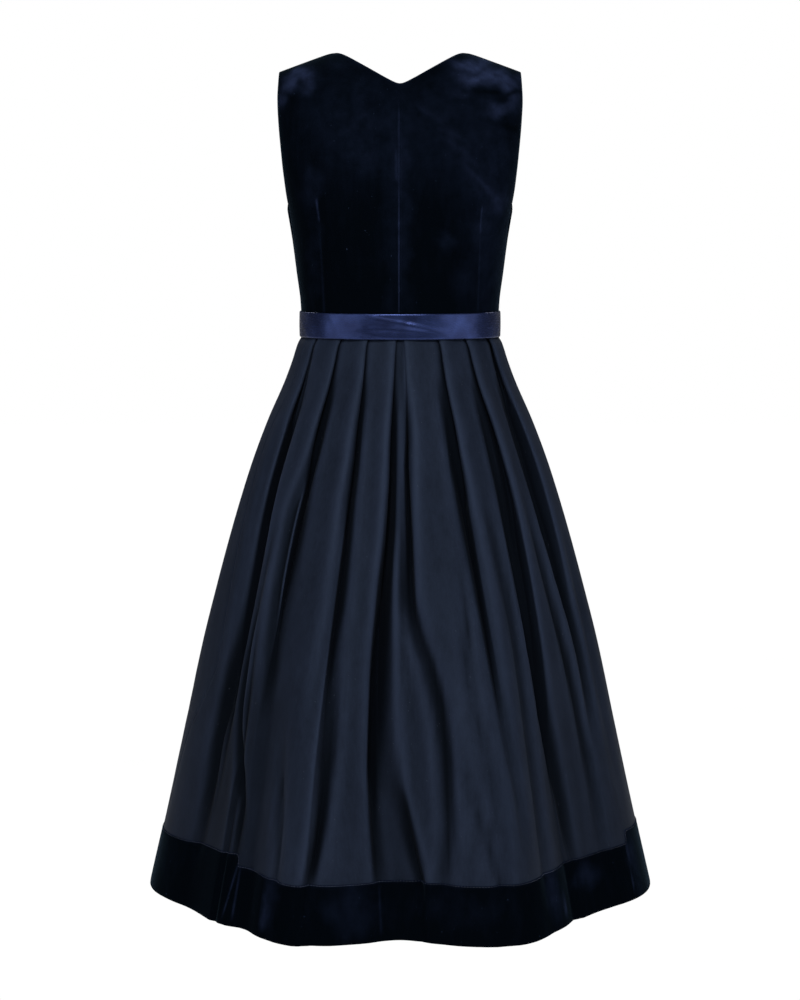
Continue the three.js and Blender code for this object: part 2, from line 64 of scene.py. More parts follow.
camera = bpy.data.objects.new("camera", bpy.data.cameras.new("camera"))
camera.data.lens = SENSOR * DISTANCE / VIEW_HEIGHT
camera.location = aim + towards_camera * DISTANCE
camera.rotation_euler = (-towards_camera).to_track_quat("-Z", "Y").to_euler()
bpy.context.scene.collection.objects.link(camera)
bpy.context.scene.camera = camera
print(f"lens {camera.data.lens:.1f} mm")

# %% [markdown]
# ## Studio light
#
# Dark cloth needs broad light from the sides. A tall softbox stands on either hand, so that the
# ridges of the folds catch them and shade the valleys between. A third fills from above the camera.
# Three more hang high behind the dress, so that a walk round it finds it lit from every side, yet
# its rims don't glow against the camera. No camera sees the boxes themselves.

# %% Lights
bpy.context.scene.view_settings.view_transform = "Standard"


def softbox(name, azimuth, elevation, distance, width, height, power):
    """An area light that looks at the dress from an azimuth, 0 being the camera's side."""
    light = bpy.data.objects.new(name, bpy.data.lights.new(name, "AREA"))
    light.data.shape = "RECTANGLE"
    light.data.size, light.data.size_y, light.data.energy = width, height, power
    a, e = math.radians(azimuth), math.radians(elevation)
    away = Vector((math.sin(a) * math.cos(e), -math.cos(a) * math.cos(e), math.sin(e)))
    light.location = aim + away * distance
    light.rotation_euler = (-away).to_track_quat("-Z", "Y").to_euler()
    light.visible_camera = False
    bpy.context.scene.collection.objects.link(light)


# name, azimuth and elevation in degrees, distance, width and height in metres, power in watts
SOFTBOXES = (
    ("left softbox", -52, 10, 2.6, 2.0, 2.4, 20),
    ("right softbox", 56, 10, 2.6, 2.2, 2.4, 28),
    ("front softbox", -2, 40, 3.4, 1.3, 1.6, 122),
    ("far left softbox", -152, 46, 3.0, 1.0, 1.2, 34),
    ("far right softbox", 154, 46, 3.0, 1.0, 1.2, 42),
    ("far top softbox", 181, 56, 3.4, 1.3, 1.2, 36),
)
for box in SOFTBOXES:
    softbox(*box)
print(len(SOFTBOXES), "softboxes")

# %% [markdown]
# ## Shader maths in Python
#
# A material is a small calculation: a weave, a nap, a streak of sheen. Python's own operators read
# better than a web of nodes, so one class wraps a socket and adds a Math node for each operator.
# Every other node comes from one method, which takes its type, its settings and its sockets.


# %% Sockets as values
class Value:
    """A node's output on which + - and * add Math nodes."""

    def __init__(self, finish, socket):
        self.finish, self.socket = finish, socket

    def maths(self, operation, *values):
        inputs = dict(enumerate(values))
        return self.finish.node("Math", {"operation": operation}, inputs)

    def __add__(self, other):
        return self.maths("ADD", self, other)

    def __sub__(self, other):
        return self.maths("SUBTRACT", self, other)

    def __rsub__(self, other):
        return self.maths("SUBTRACT", other, self)

    def __mul__(self, other):
        return self.maths("MULTIPLY", self, other)

    __radd__, __rmul__ = __add__, __mul__

    def sine(self):
        return self.maths("SINE", self)

    def clamped(self, low=0.0, high=1.0):
        return self.maths("MINIMUM", self.maths("MAXIMUM", self, low), high)

    def between(self, low, high):
        """0 below low, 1 above high and smooth between them."""
        settings = {"interpolation_type": "SMOOTHSTEP"}
        sockets = {"Value": self, "From Min": low, "From Max": high}
        return self.finish.node("MapRange", settings, sockets)


# %% Nodes from one method
class Finish:
    """The nodes of a material or a world. One method makes them all."""

    def __init__(self, owner):
        owner.use_nodes = True
        self.owner, self.tree = owner, owner.node_tree
        self.tree.nodes.clear()

    def node(self, kind, settings=None, sockets=None, out=0):
        """Adds a node, sets its settings, then its sockets, and gives one output as a value."""
        made = self.tree.nodes.new("ShaderNode" + kind)
        for name, setting in (settings or {}).items():
            setattr(made, name, setting)
        for name, value in (sockets or {}).items():
            if isinstance(value, Value):
                self.tree.links.new(value.socket, made.inputs[name])
            else:
                made.inputs[name].default_value = value
        return Value(self, made.outputs[out]) if len(made.outputs) else made

    def place(self):
        """Where a point lies in the piece's own space, in metres."""
        return self.node("TexCoord", out=3)

    def mark(self, name):
        """A mark that the mesh carries at its points."""
        return self.node("Attribute", {"attribute_name": name}, out=2)

    def mixed(self, first, second, share):
        """A colour between two colours."""
        settings = {"data_type": "RGBA", "clamp_factor": True}
        return self.node("Mix", settings, {0: share, 6: first, 7: second}, out=2)

    def noise(self, place, scale, detail=2.0, roughness=0.5):
        sockets = {"Vector": place, "Scale": scale, "Detail": detail, "Roughness": roughness}
        return self.node("TexNoise", None, sockets)

    def stretched(self, place, amounts):
        return self.node("VectorMath", {"operation": "MULTIPLY"}, {0: place, 1: amounts})

    def bumped(self, height, distance, strength=1.0):
        sockets = {"Height": height, "Distance": distance, "Strength": strength}
        return self.node("Bump", None, sockets)

    def finished(self, **sockets):
        """Ends the material with one Principled shader: base_color=... sets its Base Color."""
        named = {name.replace("_", " ").title().replace("Ior", "IOR"): v for name, v in sockets.items()}
        shader = self.node("BsdfPrincipled", None, named)
        self.node("OutputMaterial", None, {"Surface": shader})
        return self.owner


def new_finish(name):
    return Finish(bpy.data.materials.new(name))


# %% [markdown]
# ## Room and floor
#
# The room is dim, so that the softboxes model the folds, yet the eye meets an even white behind
# the dress. The floor is a plain pale sheet, as low below the hem as a wearer's feet. It glows a
# little to the eye alone, so that it is as white as the room.

# %% Room and floor
FLOOR, REACH = -1.49, 12  # metres: its height, and how far it goes each way
AMBIENT, FLOOR_GLOW = 0.05, 1.1

room = Finish(bpy.data.worlds.new("studio"))
seen = room.node("LightPath", out=0)
white = room.node("Background", None, {"Color": (1, 1, 1, 1), "Strength": 1.0})
dim = room.node("Background", None, {"Color": (0.9, 0.95, 1, 1), "Strength": AMBIENT})
both = room.node("MixShader", None, {0: seen, 1: dim, 2: white})
room.node("OutputWorld", None, {"Surface": both})
bpy.context.scene.world = room.owner

pale = new_finish("pale floor")
grain = pale.noise(pale.place(), 3.0)
tone = pale.mixed((0.9, 0.9, 0.9, 1), (0.94, 0.94, 0.94, 1), grain)
matte = pale.node("BsdfDiffuse", None, {"Color": tone})
lit = pale.node("Emission", None, {"Color": tone, "Strength": FLOOR_GLOW})
seen = pale.node("LightPath", out=0)
both = pale.node("MixShader", None, {0: seen, 1: matte, 2: lit})
pale.node("OutputMaterial", None, {"Surface": both})

floor = bpy.data.objects.new("floor", bpy.data.meshes.new("floor"))
corners = [(x * REACH, y * REACH, FLOOR) for x, y in ((-1, -1), (1, -1), (1, 1), (-1, 1))]
floor.data.from_pydata(corners, [], [(0, 1, 2, 3)])
floor.data.materials.append(pale.owner)
bpy.context.scene.collection.objects.link(floor)


# %% [markdown]
# ## Velvet
#
# Velvet is a carpet of short upright fibres. Looked at straight on, light sinks between them and
# the cloth is nearly black. At a glancing angle, and wherever the nap has been brushed over, the
# fibres' sides shine. The shader's sheen gives the glancing light. The brushed places come from
# an attribute of the mesh for nap and painted sheen. It paints their shine into the colour, and it
# paints pale lines along turned edges and pressed lines as painted highlights. Noise drawn out
# along the cloth breaks them up.


# %% Velvet finish
def velvet_finish():
    finish = new_finish("navy velvet")
    place = finish.place()
    nap_and_sheen = finish.mark("nap_and_sheen")
    strokes = finish.noise(finish.stretched(place, (70, 70, 18)), 1.0, 3.0, 0.6)
    mottle = finish.noise(place, 60.0, 4.0, 0.6)
    pile = finish.noise(place, 1400.0, 2.0, 0.7)
    brushed = (nap_and_sheen * (mottle * 2.4 - 0.2) + (strokes - 0.52) * 0.1).clamped()
    lint = finish.noise(place, 430.0, 0.0).between(0.86, 0.9)
    # Painted sheen: the velvet goes from its deep tone to a paler blue where the nap is brushed, for
    # the brushed pile and the shine it catches.
    deep, brushed_sheen = (0.0006, 0.0012, 0.0022, 1), (0.0125, 0.0185, 0.045, 1)
    colour = finish.mixed(deep, brushed_sheen, (brushed * (0.8 + pile * 0.4)).clamped())
    colour = finish.mixed(colour, (0.03, 0.045, 0.09, 1), lint * 0.3)
    return finish.finished(
        base_color=colour,
        roughness=0.92 - brushed * 0.12,
        specular_ior_level=0.0,
        sheen_weight=0.035,
        sheen_roughness=0.3,
        sheen_tint=(0.45, 0.72, 1.0, 1),
        normal=finish.bumped(pile + strokes * 1.5, 0.0004, 0.35),
    )


velvet = velvet_finish()
print("velvet:", len(velvet.node_tree.nodes), "nodes")

# %% [markdown]
# ## Matte cloth
#
# The skirt is a smooth, dense cotton twill without shine. Its threads run down and across the
# panel, so the weave follows the panel's own map, in which a unit is a metre of cloth. Two sines
# make the threads. Noise drawn out down the cloth gives its brushed, streaky face, and a few pale
# specks of lint lie on it, as they do on every dark cloth. Two attributes of the mesh paint light
# and shade into the colour. Crest lightens the ridges of the folds as a painted highlight, and fold
# darkens their valleys and the skirt's low sides as painted shade.


# %% Matte cloth finish
THREAD = 0.00062  # metres from one thread to the next


def cloth_finish(name, tone):
    finish = new_finish(name)
    place = finish.place()
    across, down = (
        finish.node("SeparateXYZ", None, {0: finish.node("TexCoord", out=2)}, out=way) for way in (0, 1)
    )
    turns = 2 * math.pi / THREAD
    weave = ((across * turns).sine() * (down * turns).sine() + 1) * 0.5
    dye = finish.noise(place, 9.0, 4.0, 0.55)
    slub = finish.noise(finish.stretched(place, (420, 420, 24)), 1.0, 2.0, 0.6)
    brushed = finish.noise(finish.stretched(place, (90, 90, 16)), 1.0, 4.0, 0.7)
    grain = finish.noise(place, 650.0, 2.0, 0.7)
    lint = finish.noise(place, 520.0, 0.0).between(0.86, 0.89)
    fold = finish.mark("fold")
    crest = finish.mark("crest")
    face = dye * 0.5 + brushed * 0.65 + slub * 0.45 + grain * 0.45
    # The cloth's own streaks and grain vary its tone, and crest adds a painted highlight on the ridges.
    shade = (crest * 0.75 + face + weave * 0.06 - 0.275).clamped(0, 2)
    dark = tuple(0.55 * c for c in tone) + (1,)
    light = tuple(1.6 * c for c in tone) + (1,)
    colour = finish.mixed(dark, light, shade - 0.5)
    # Painted shade: the cloth goes nearly black where fold is high.
    colour = finish.mixed(colour, (0.0004, 0.0006, 0.0012, 1), fold.between(0.1, 0.65) * 0.95)
    colour = finish.mixed(colour, (0.05, 0.06, 0.08, 1), lint * 0.5)
    return finish.finished(
        base_color=colour,
        roughness=0.55 + fold * 0.4,
        specular_ior_level=0.06,
        specular_tint=(0.5, 0.7, 1.0, 1),
        sheen_weight=0.008,
        sheen_roughness=0.5,
        sheen_tint=(0.6, 0.72, 1.0, 1),
        normal=finish.bumped(weave + slub * 0.8, 0.00012, 0.3),
    )


cloth = cloth_finish("matte navy cloth", (0.0070, 0.0099, 0.0186))
apron_cloth = cloth_finish("matte navy apron cloth", (0.0068, 0.0102, 0.0196))
print("cloth:", len(cloth.node_tree.nodes), "nodes")

# %% [markdown]
# ## Satin
#
# Satin's long floating threads mirror the light and colour it, much as a metal does, so the ribbon
# is mostly metallic. It is never quite flat: fine threads along it and soft dents spread the shine.
# The stitches' thread is duller, twisted, and worn paler in places.


# %% Satin finish
def satin_finish():
    finish = new_finish("navy satin")
    place = finish.place()
    fine = finish.noise(finish.stretched(place, (60, 60, 900)), 1.0, 2.0, 0.6)
    dents = finish.noise(place, 34.0, 2.0, 0.5)
    colour = finish.mixed((0.014, 0.021, 0.066, 1), (0.024, 0.038, 0.118, 1), dents.between(0.3, 0.7))
    return finish.finished(
        base_color=colour,
        metallic=0.75,
        roughness=0.23 + fine * 0.08,
        specular_ior_level=0.15,
        sheen_weight=0.05,
        sheen_roughness=0.4,
        sheen_tint=(0.9, 0.9, 1.0, 1),
        normal=finish.bumped(fine * 0.12 + dents * 6, 0.0005, 0.3),
    )


def thread_finish():
    finish = new_finish("navy thread")
    place = finish.place()
    twist = finish.noise(place, 900.0, 2.0)
    worn = finish.noise(place, 9.0, 2.0).between(0.42, 0.62)
    colour = finish.mixed((0.006, 0.008, 0.016, 1), (0.05, 0.06, 0.1, 1), worn * (0.5 + twist))
    return finish.finished(base_color=colour, roughness=0.6, normal=finish.bumped(twist, 0.0001, 0.4))


satin, thread = satin_finish(), thread_finish()
print("satin:", len(satin.node_tree.nodes), "nodes")

# %% [markdown]
# ## Tables and smooth curves
#
# The forms of a dress are few: a section here, a depth there. Each is a short table with a row for
# each height, and a curve that never overshoots its rows reads between them. Folds, strokes and
# brushed patches come in many tables of the same columns, so each kind has a function of its own.


# %% Tables
def table(columns, *rows):
    return dict(zip(columns.split(), np.array(rows, float).T))


def soft_fold(*rows):
    return table("z turn rise width", *rows)


def lines(*rows):
    """Creases and strokes: from a first point to a second, with a width and a rise."""
    return table("x1 z1 x2 z2 width rise", *rows)


def nap_patches(*rows):
    return table("x z wide high strength", *rows)


def rows_of(rows):
    """The rows of a table, one after the other, as dictionaries."""
    for values in zip(*rows.values()):
        yield dict(zip(rows, values))


def hermite(t, start, end, pull, push):
    """A cubic from start to end that leaves along pull and arrives along push."""
    leaving = (1 + 2 * t) * (1 - t) ** 2 * start + t * (1 - t) ** 2 * pull
    return leaving + t * t * (3 - 2 * t) * end + t * t * (t - 1) * push


def read(rows, column, z):
    """A column of a table at any heights. The rows go down in z."""
    at, value = -rows["z"], rows[column]
    z = np.clip(-np.asarray(z, float), at[0], at[-1])
    slope = np.diff(value) / np.diff(at)
    before, after = np.r_[slope[0], slope], np.r_[slope, slope[-1]]
    same = before * after > 0
    tangent = np.where(same, 2 * before * after / np.where(same, before + after, 1), 0)
    k = np.clip(np.searchsorted(at, z, side="right") - 1, 0, len(at) - 2)
    span = at[k + 1] - at[k]
    pull, push = span * tangent[k], span * tangent[k + 1]
    return hermite((z - at[k]) / span, value[k], value[k + 1], pull, push)


# %% Curves and sections
def ease(value):
    t = np.clip(value, 0, 1)
    return t * t * (3 - 2 * t)


def mix(low, high, share):
    return low + (high - low) * share


def bump(distance, spread):
    return np.exp(-((distance / spread) ** 2))


def ridge(distance, height, width):
    """A soft ridge, or a groove where its height is negative."""
    return height * bump(distance, width)


def oval(rows, turn, z):
    """A point (x, y) of an oval section. A turn is 0 at the centre back, 90 at the right side."""
    across, backwards = np.sin(np.radians(turn)), np.cos(np.radians(turn))
    power = 2 / read(rows, "square", z)
    depth = np.where(backwards > 0, read(rows, "back", z), read(rows, "front", z))
    x = read(rows, "half_width", z) * np.sign(across) * np.abs(across) ** power
    y = -depth * np.sign(backwards) * np.abs(backwards) ** power
    return np.stack([x, y], -1)


def step_of(section, turn, z):
    """How far a section runs in one degree round a turn."""
    return section(turn + 0.5, z) - section(turn - 0.5, z)


def outwards_of(section, turn, z):
    """The unit vector that points straight out of a section."""
    step = step_of(section, turn, z)
    step /= np.linalg.norm(step, axis=-1, keepdims=True)
    return np.stack([step[..., 1], -step[..., 0]], -1)


FINE = 4000  # steps, far more than any cloth has rows


def crowded(start, stop, count, *places):
    """Numbers from start to stop that stand closer round each (centre, spread, times)."""
    fine = np.linspace(start, stop, FINE)
    density = 1 + sum(times * bump(fine - centre, spread) for centre, spread, times in places)
    run = np.r_[0, np.cumsum((density[1:] + density[:-1]) / 2)]
    return np.interp(np.linspace(0, run[-1], count), run, fine)


# %% [markdown]
# ## From a grid of points to cloth
#
# A panel of cloth is a grid of points: its rows go down the cloth and its columns go round. The
# shell adds the cloth's thickness along the grid's own normals and closes the rim, so that an edge
# looks like an edge from any side. The map keeps real metres for the weave.


# %% Shells
RIM = 0.6  # a sheet's rim has this share of its thickness
pieces = {}


def directions(grid):
    """The unit normals of a grid of points, pointing away from the body's axis."""
    down, around = np.gradient(grid, axis=0), np.gradient(grid, axis=1)
    normal = np.cross(around, down)
    normal /= np.linalg.norm(normal, axis=-1, keepdims=True) + 1e-12
    outwards = np.sum(normal[..., :2] * grid[..., :2])
    return normal if outwards > 0 else -normal


def map_of(grid):
    """Metres of cloth across and down, one pair for each point."""
    across = np.linalg.norm(np.diff(grid, axis=1), axis=-1).mean(0)
    down = np.linalg.norm(np.diff(grid, axis=0), axis=-1).mean(1)
    u, v = np.r_[0, np.cumsum(across)], np.r_[0, np.cumsum(down)]
    return np.stack(np.meshgrid(u, v), -1) * MM


def shell(name, grid, thickness, finish, lift=0.0, marks=None):
    """A closed sheet of cloth. lift moves its middle out from the grid, marks are for its finish."""
    rows, columns = grid.shape[:2]
    normal = directions(grid)
    depth = np.full((rows, columns), thickness / 2)
    depth[[0, -1]] *= RIM
    depth[:, [0, -1]] *= RIM
    outer = grid + normal * (lift + depth)[..., None]
    inner = grid + normal * (lift - depth)[..., None]
    points = np.concatenate([outer.reshape(-1, 3), inner.reshape(-1, 3)]) * MM
    index = np.arange(rows * columns).reshape(rows, columns)
    far = index + rows * columns

    def quads(a, b, c, d):
        return np.stack([a, b, c, d], -1).reshape(-1, 4)

    faces = np.concatenate([
        quads(index[:-1, :-1], index[:-1, 1:], index[1:, 1:], index[1:, :-1]),
        quads(far[:-1, :-1], far[1:, :-1], far[1:, 1:], far[:-1, 1:]),
        quads(index[:-1, 0], index[1:, 0], far[1:, 0], far[:-1, 0]),
        quads(index[1:, -1], index[:-1, -1], far[:-1, -1], far[1:, -1]),
        quads(index[0, 1:], index[0, :-1], far[0, :-1], far[0, 1:]),
        quads(index[-1, :-1], index[-1, 1:], far[-1, 1:], far[-1, :-1]),
    ])
    a, b, c = (points[faces[:, k]] for k in (0, 1, 2))
    if np.sum(a * np.cross(b, c)) < 0:
        faces = faces[:, ::-1]
    uv = np.tile(map_of(grid).reshape(-1, 2), (2, 1))
    return add_mesh(name, points, faces.tolist(), finish, uv, marks or {})


# %% Meshes
def add_mesh(name, points, faces, finish, uv, marks):
    mesh = bpy.data.meshes.new(name)
    mesh.from_pydata(points.tolist(), [], faces)
    mesh.polygons.foreach_set("use_smooth", np.ones(len(faces), bool))
    corners = np.concatenate([np.ravel(face) for face in faces])
    layer = mesh.uv_layers.new(name="cloth")
    layer.data.foreach_set("uv", uv[corners].astype(np.float32).ravel())
    for mark, values in marks.items():
        layer = mesh.attributes.new(mark, "FLOAT", "POINT")
        layer.data.foreach_set("value", np.tile(values.ravel(), 2).astype(np.float32))
    mesh.materials.append(finish)
    mesh.validate()
    piece = bpy.data.objects.new(name, mesh)
    bpy.context.scene.collection.objects.link(piece)
    pieces[name] = piece
    print(f"{name}: {len(points)} points")
    return piece


# %% [markdown]
# ## The bodice's cut
#
# The bodice is four panels round an oval body: two backs and two fronts. The back's top edge is a
# shallow V, the front's a plain scoop, and both meet at rounded peaks on the shoulders. Two waist
# darts in the back and two in the front take in the cloth towards the waist.

# %% Bodice sizes
SEAM_GAP, VELVET = 0.3, 1.8  # the room between two pieces, and the velvet's thickness
SHOULDER_TIP = (149, -23.2)
UNDERARM, WAIST = -193, -340
NECK_HALF_WIDTH, FRONT_NECK_DEPTH, SCOOP_POWER = 80, 160, 2.8
SHOULDER_FALL = 0.362  # down for each millimetre out
SHOULDER_FROM = -75  # where the body starts to round over into the shoulders
V_FOOT, V_SLOPE, V_ROUND = -44.5, 0.6, 6  # the back's neckline
PEAK_RISE, PEAK_ROUND = 1.8, 4.2
BODICE_ROWS, BODICE_COLUMNS = 132, 118
ROW_CROWDING = 1.35  # above 1 the rows stand closer at the shoulders
BUST = {"x": 70, "z": -212, "rise": 13, "spread_x": 40, "spread_z": 46}

figure = table(
    "z half_width back front square",
    (5, 156, 62, 58, 2.7), (-58, 156, 87, 76, 2.7), (-82, 155, 95, 86, 2.7),
    (-108, 153, 102, 96, 2.7), (-131, 150, 107, 104, 2.65), (-155, 146, 110, 110, 2.6),
    (-193, 139.5, 112, 115, 2.45), (-230, 133.5, 109, 113, 2.35), (-270, 128.5, 102, 102, 2.25),
    (-306, 124, 96, 94, 2.2), (-340, 122.4, 93, 92, 2.2),
)
side_seam = table("z turn", (-193, 76), (-215, 78), (-250, 85), (-340, 87))
back_armhole = table("z turn", (-23.2, 70), (-58, 71.5), (-108, 71), (-155, 75), (-178, 77), (-193, 76))
front_armhole = table(
    "z turn",
    (-23.2, 70), (-60, 66), (-110, 64), (-145, 67), (-168, 73), (-181, 80), (-188, 88),
    (-191.5, 96), (-193, 104),
)
# the front's inner columns turn less sharply than the armhole that the outer ones follow
calm_armhole = table(
    "z turn",
    (-23.2, 70), (-60, 66), (-110, 64), (-145, 67), (-168, 73), (-200, 84), (-235, 92),
    (-270, 94.9), (-340, 93),
)


# %% Bodice form
def back_top(x):
    """The back's top edge: a shallow V that meets the shoulders in two rounded peaks."""
    neckline = V_FOOT + V_SLOPE * np.hypot(x, V_ROUND)
    shoulder = PEAK_RISE - SHOULDER_FALL * (np.abs(x) - NECK_HALF_WIDTH)
    return -PEAK_ROUND * np.log(np.exp(-neckline / PEAK_ROUND) + np.exp(-shoulder / PEAK_ROUND))


def front_top(x):
    share = (np.abs(x) / NECK_HALF_WIDTH) ** SCOOP_POWER
    scoop = mix(-FRONT_NECK_DEPTH, back_top(NECK_HALF_WIDTH), share)
    return np.where(np.abs(x) >= NECK_HALF_WIDTH, back_top(x), scoop)


def bodice_point(side, turn, z):
    """A point of the bodice's outer side. side is 1 on the back and -1 on the front."""
    place = oval(figure, turn if side > 0 else 180 - turn, z)
    x, y = place[..., 0], place[..., 1]
    plain = -SHOULDER_FALL * (np.abs(x) - NECK_HALF_WIDTH)
    crown = np.where(np.abs(x) >= NECK_HALF_WIDTH, back_top(x), plain)
    up = np.clip((z - SHOULDER_FROM) / (crown - SHOULDER_FROM), 0, 1)
    y = y * np.sqrt(1 - up**2)
    swell = bump(np.abs(x) - BUST["x"], BUST["spread_x"]) * bump(z - BUST["z"], BUST["spread_z"])
    fullness = np.sqrt(np.maximum(1 - (x / read(figure, "half_width", z)) ** 2, 0))
    y = y + np.where(y > 0, BUST["rise"] * swell * fullness, 0)
    return np.stack([x, y, np.broadcast_to(z, x.shape)], -1)


def edge_turn(side, z):
    armhole = read(back_armhole if side > 0 else front_armhole, "turn", z)
    seam = read(side_seam, "turn", z)
    return np.where(z > UNDERARM, armhole, seam if side > 0 else 180 - seam)


def turn_at(x, z):
    """The turn from the centre at which the section at a height reaches x."""
    square = read(figure, "square", z)
    across = np.clip(x / read(figure, "half_width", z), 0, 1) ** (square / 2)
    return np.degrees(np.arcsin(across))


def bodice_grid(side, top_edge, columns, heights):
    """The right half of the back or front. Only its outer columns follow the armhole's sharp turn."""
    x, height = np.meshgrid(columns, heights)
    top = top_edge(x)
    z = WAIST + (height - WAIST) / (SHOULDER_TIP[1] - WAIST) * (top - WAIST)
    tip = turn_at(SHOULDER_TIP[0], top_edge(np.array(SHOULDER_TIP[0])))
    share, edge = turn_at(x, top) / tip, edge_turn(side, z)
    calm = edge if side > 0 else read(calm_armhole, "turn", z)
    turn = share * mix(calm, edge, share**4)
    return bodice_point(side, turn, z)


# %% [markdown]
# ## Darts, seams and creases
#
# A dart is a wedge of cloth sewn away, so it shows as a fine sunk line with the cloth rounding
# into it, and as a small swelling at its tip. The centre back seam puckers a little where the
# machine pulled the velvet. Long soft creases come from the way the cloth hangs. Each crease is a
# row of a table and is added along the cloth's normal.

# %% Bodice creases
# A positive rise is a ridge. Here and below, 1 is the wearer's right half and -1 the left.
back_creases = {
    1: lines(
        (18, -62, 92, -122, 9, 0.7), (60, -92, 138, -165, 10, 0.8), (95, -150, 134, -205, 8, 0.7),
        (88, -88, 140, -78, 9, -0.9), (96, -66, 145, -62, 8, 0.8), (60, -28, 128, -36, 9, 0.7),
        (40, -230, 84, -262, 12, 0.5), (100, -205, 118, -300, 7, 0.5),
    ),
    -1: lines(
        (142, -34, 104, -64, 8, 0.8), (146, -58, 122, -84, 7, -0.7), (60, -100, 100, -160, 12, 0.5),
        (112, -190, 120, -300, 8, 0.5), (20, -210, 66, -240, 14, 0.4),
    ),
}
front_creases = {
    1: lines((70, -168, 120, -190, 9, 0.7), (64, -262, 40, -322, 9, 0.6), (88, -70, 126, -110, 8, 0.7)),
    -1: lines(
        (66, -176, 116, -202, 10, 0.6), (58, -250, 44, -318, 8, 0.6), (92, -64, 122, -120, 9, 0.6),
    ),
}
back_darts = {
    1: table("z x", (-182, 98.5), (-240, 96.9), (-305, 95.6), (-340, 95)),
    -1: table("z x", (-180, 101.5), (-240, 96), (-307, 92.5), (-340, 92)),
}
front_dart = table("z x", (-238, 73), (-290, 66), (-340, 62))


# %% Reliefs
def along_line(x, z, line):
    """How far a point lies beside a line, and where along it, 0 at its start and 1 at its end."""
    start = np.array([line["x1"], line["z1"]])
    run = np.array([line["x2"], line["z2"]]) - start
    length = np.hypot(*run)
    dx, dz = x - start[0], z - start[1]
    place = (dx * run[0] + dz * run[1]) / length**2
    beside = (dx * run[1] - dz * run[0]) / length
    return beside, place


def relief_of_lines(x, z, rows, room, run):
    """The sum of a table of lines. Each fades over run, from a little room past its two ends."""
    relief = 0
    for line in rows_of(rows):
        beside, place = along_line(x, z, line)
        fade = ease((place + room) / run) * ease((1 + room - place) / run)
        relief = relief + ridge(beside, line["rise"], line["width"]) * fade
    return relief


# Each is a height and a width. A height below 0 is a groove.
DART_LINE, DART_HOLLOW, DART_SWELLING = (-0.9, 1.3), (-0.5, 7), (0.7, 6)
SEAM_LINE, PUCKER = (-0.8, 1.5), (0.14, 4.5)
FRONT_SEAM = 0.6  # the front's seam is so much shallower than the back's
EDGE_ROLL, EDGE_GROOVE = (0.5, 2.2), (-0.35, 1.6)
DART_STARTS, SWELLING_BELOW, SWELLING_TALL = 26, 8, 10  # down from the dart's tip
PUCKER_BESIDE, ROLL_INSIDE, GROOVE_INSIDE = 4, 2, 7  # in from the seam, and from a cut edge


def dart_relief(x, z, dart):
    """A sewn line that rounds in from both sides and swells at its tip."""
    beside, below = x - read(dart, "x", z), dart["z"][0] - z
    sewn = ease(below / DART_STARTS) * (ridge(beside, *DART_LINE) + ridge(beside, *DART_HOLLOW))
    return sewn + ridge(beside, *DART_SWELLING) * bump(below - SWELLING_BELOW, SWELLING_TALL)


def centre_relief(x, z):
    """The centre back seam, sunk between puckers that come and go."""
    puckers = np.sin(z / 2.1 + 1.7 * np.sin(z / 9.3)) + 0.6 * np.sin(z / 3.4 + 2.2)
    strength = 0.5 + 0.5 * np.sin(z / 31)
    return ridge(x, *SEAM_LINE) + puckers * strength * ridge(x - PUCKER_BESIDE, *PUCKER)


def edge_roll(distance):
    """The turned edge of a neckline or an armhole, with a faint groove behind it."""
    return ridge(distance - ROLL_INSIDE, *EDGE_ROLL) + ridge(distance - GROOVE_INSIDE, *EDGE_GROOVE)


# %% [markdown]
# ## Brushed nap
#
# Hands brush velvet where they smooth or lift it: on the shoulders, beside seams and darts. Each
# brushed place is an oval patch in one table, and each stroke of a hand or pressed line is a row of
# another. Their rims wander a little. The shader reads the sum of them all as nap and painted
# sheen: the brushed pile is paler, and the shine it catches is painted into the colour.

# %% Nap patches
back_nap = {
    1: nap_patches(
        (70, -98, 92, 76, 0.075), (116, -230, 40, 110, 0.1), (84, -16, 21, 8, 0.8),
        (114, -34, 42, 11, 0.5), (98, -32, 14, 6, 0.3), (132, -39, 14, 7, 0.22),
        (72, -52, 18, 6, 0.12), (124, -71, 22, 9, 0.32), (138, -58, 9, 7, 0.25),
        (118, -180, 12, 14, 0.1), (104, -210, 8, 26, 0.07), (54, -233, 11, 13, 0.09),
        (74, -280, 15, 17, 0.06), (3, -190, 11, 130, 0.07),
    ),
    -1: nap_patches(
        (58, -88, 74, 72, 0.075), (122, -30, 19, 9, 0.55), (112, -44, 8, 10, 0.25),
        (138, -40, 9, 10, 0.36), (142, -62, 8, 10, 0.25), (60, -14, 26, 10, 0.06),
        (40, -132, 26, 20, 0.05), (107, -164, 14, 22, 0.08), (104, -250, 9, 60, 0.05),
        (3, -190, 17, 130, 0.06),
    ),
}
back_strokes = {
    1: lines(
        (16, -66, 62, -98, 3.5, 0.06), (40, -92, 84, -112, 2.5, 0.05),
        (54, -104, 100, -146, 4, 0.06), (78, -140, 124, -186, 3, 0.09),
        (92, -150, 128, -204, 3, 0.06), (72, -126, 96, -180, 5, 0.04),
        (104, -84, 146, -98, 5, -0.05), (74, -50, 140, -52, 3, -0.05),
        (98.6, -186, 97.4, -222, 0.9, 0.26), (97.4, -222, 95.6, -328, 0.9, 0.08),
        (1.3, -54, 1.3, -330, 0.8, 0.04),
    ),
    -1: lines(
        (143, -30, 106, -58, 4, 0.1), (100.5, -178, 97.8, -208, 1.3, 0.38),
        (97.8, -208, 92.5, -330, 1.1, 0.07), (1.3, -60, 1.3, -170, 1.2, 0.16),
        (1.3, -160, 1.3, -326, 0.8, 0.42), (5, -118, 4, -160, 1.6, 0.14),
        (30, -70, 96, -122, 5, 0.03),
    ),
}
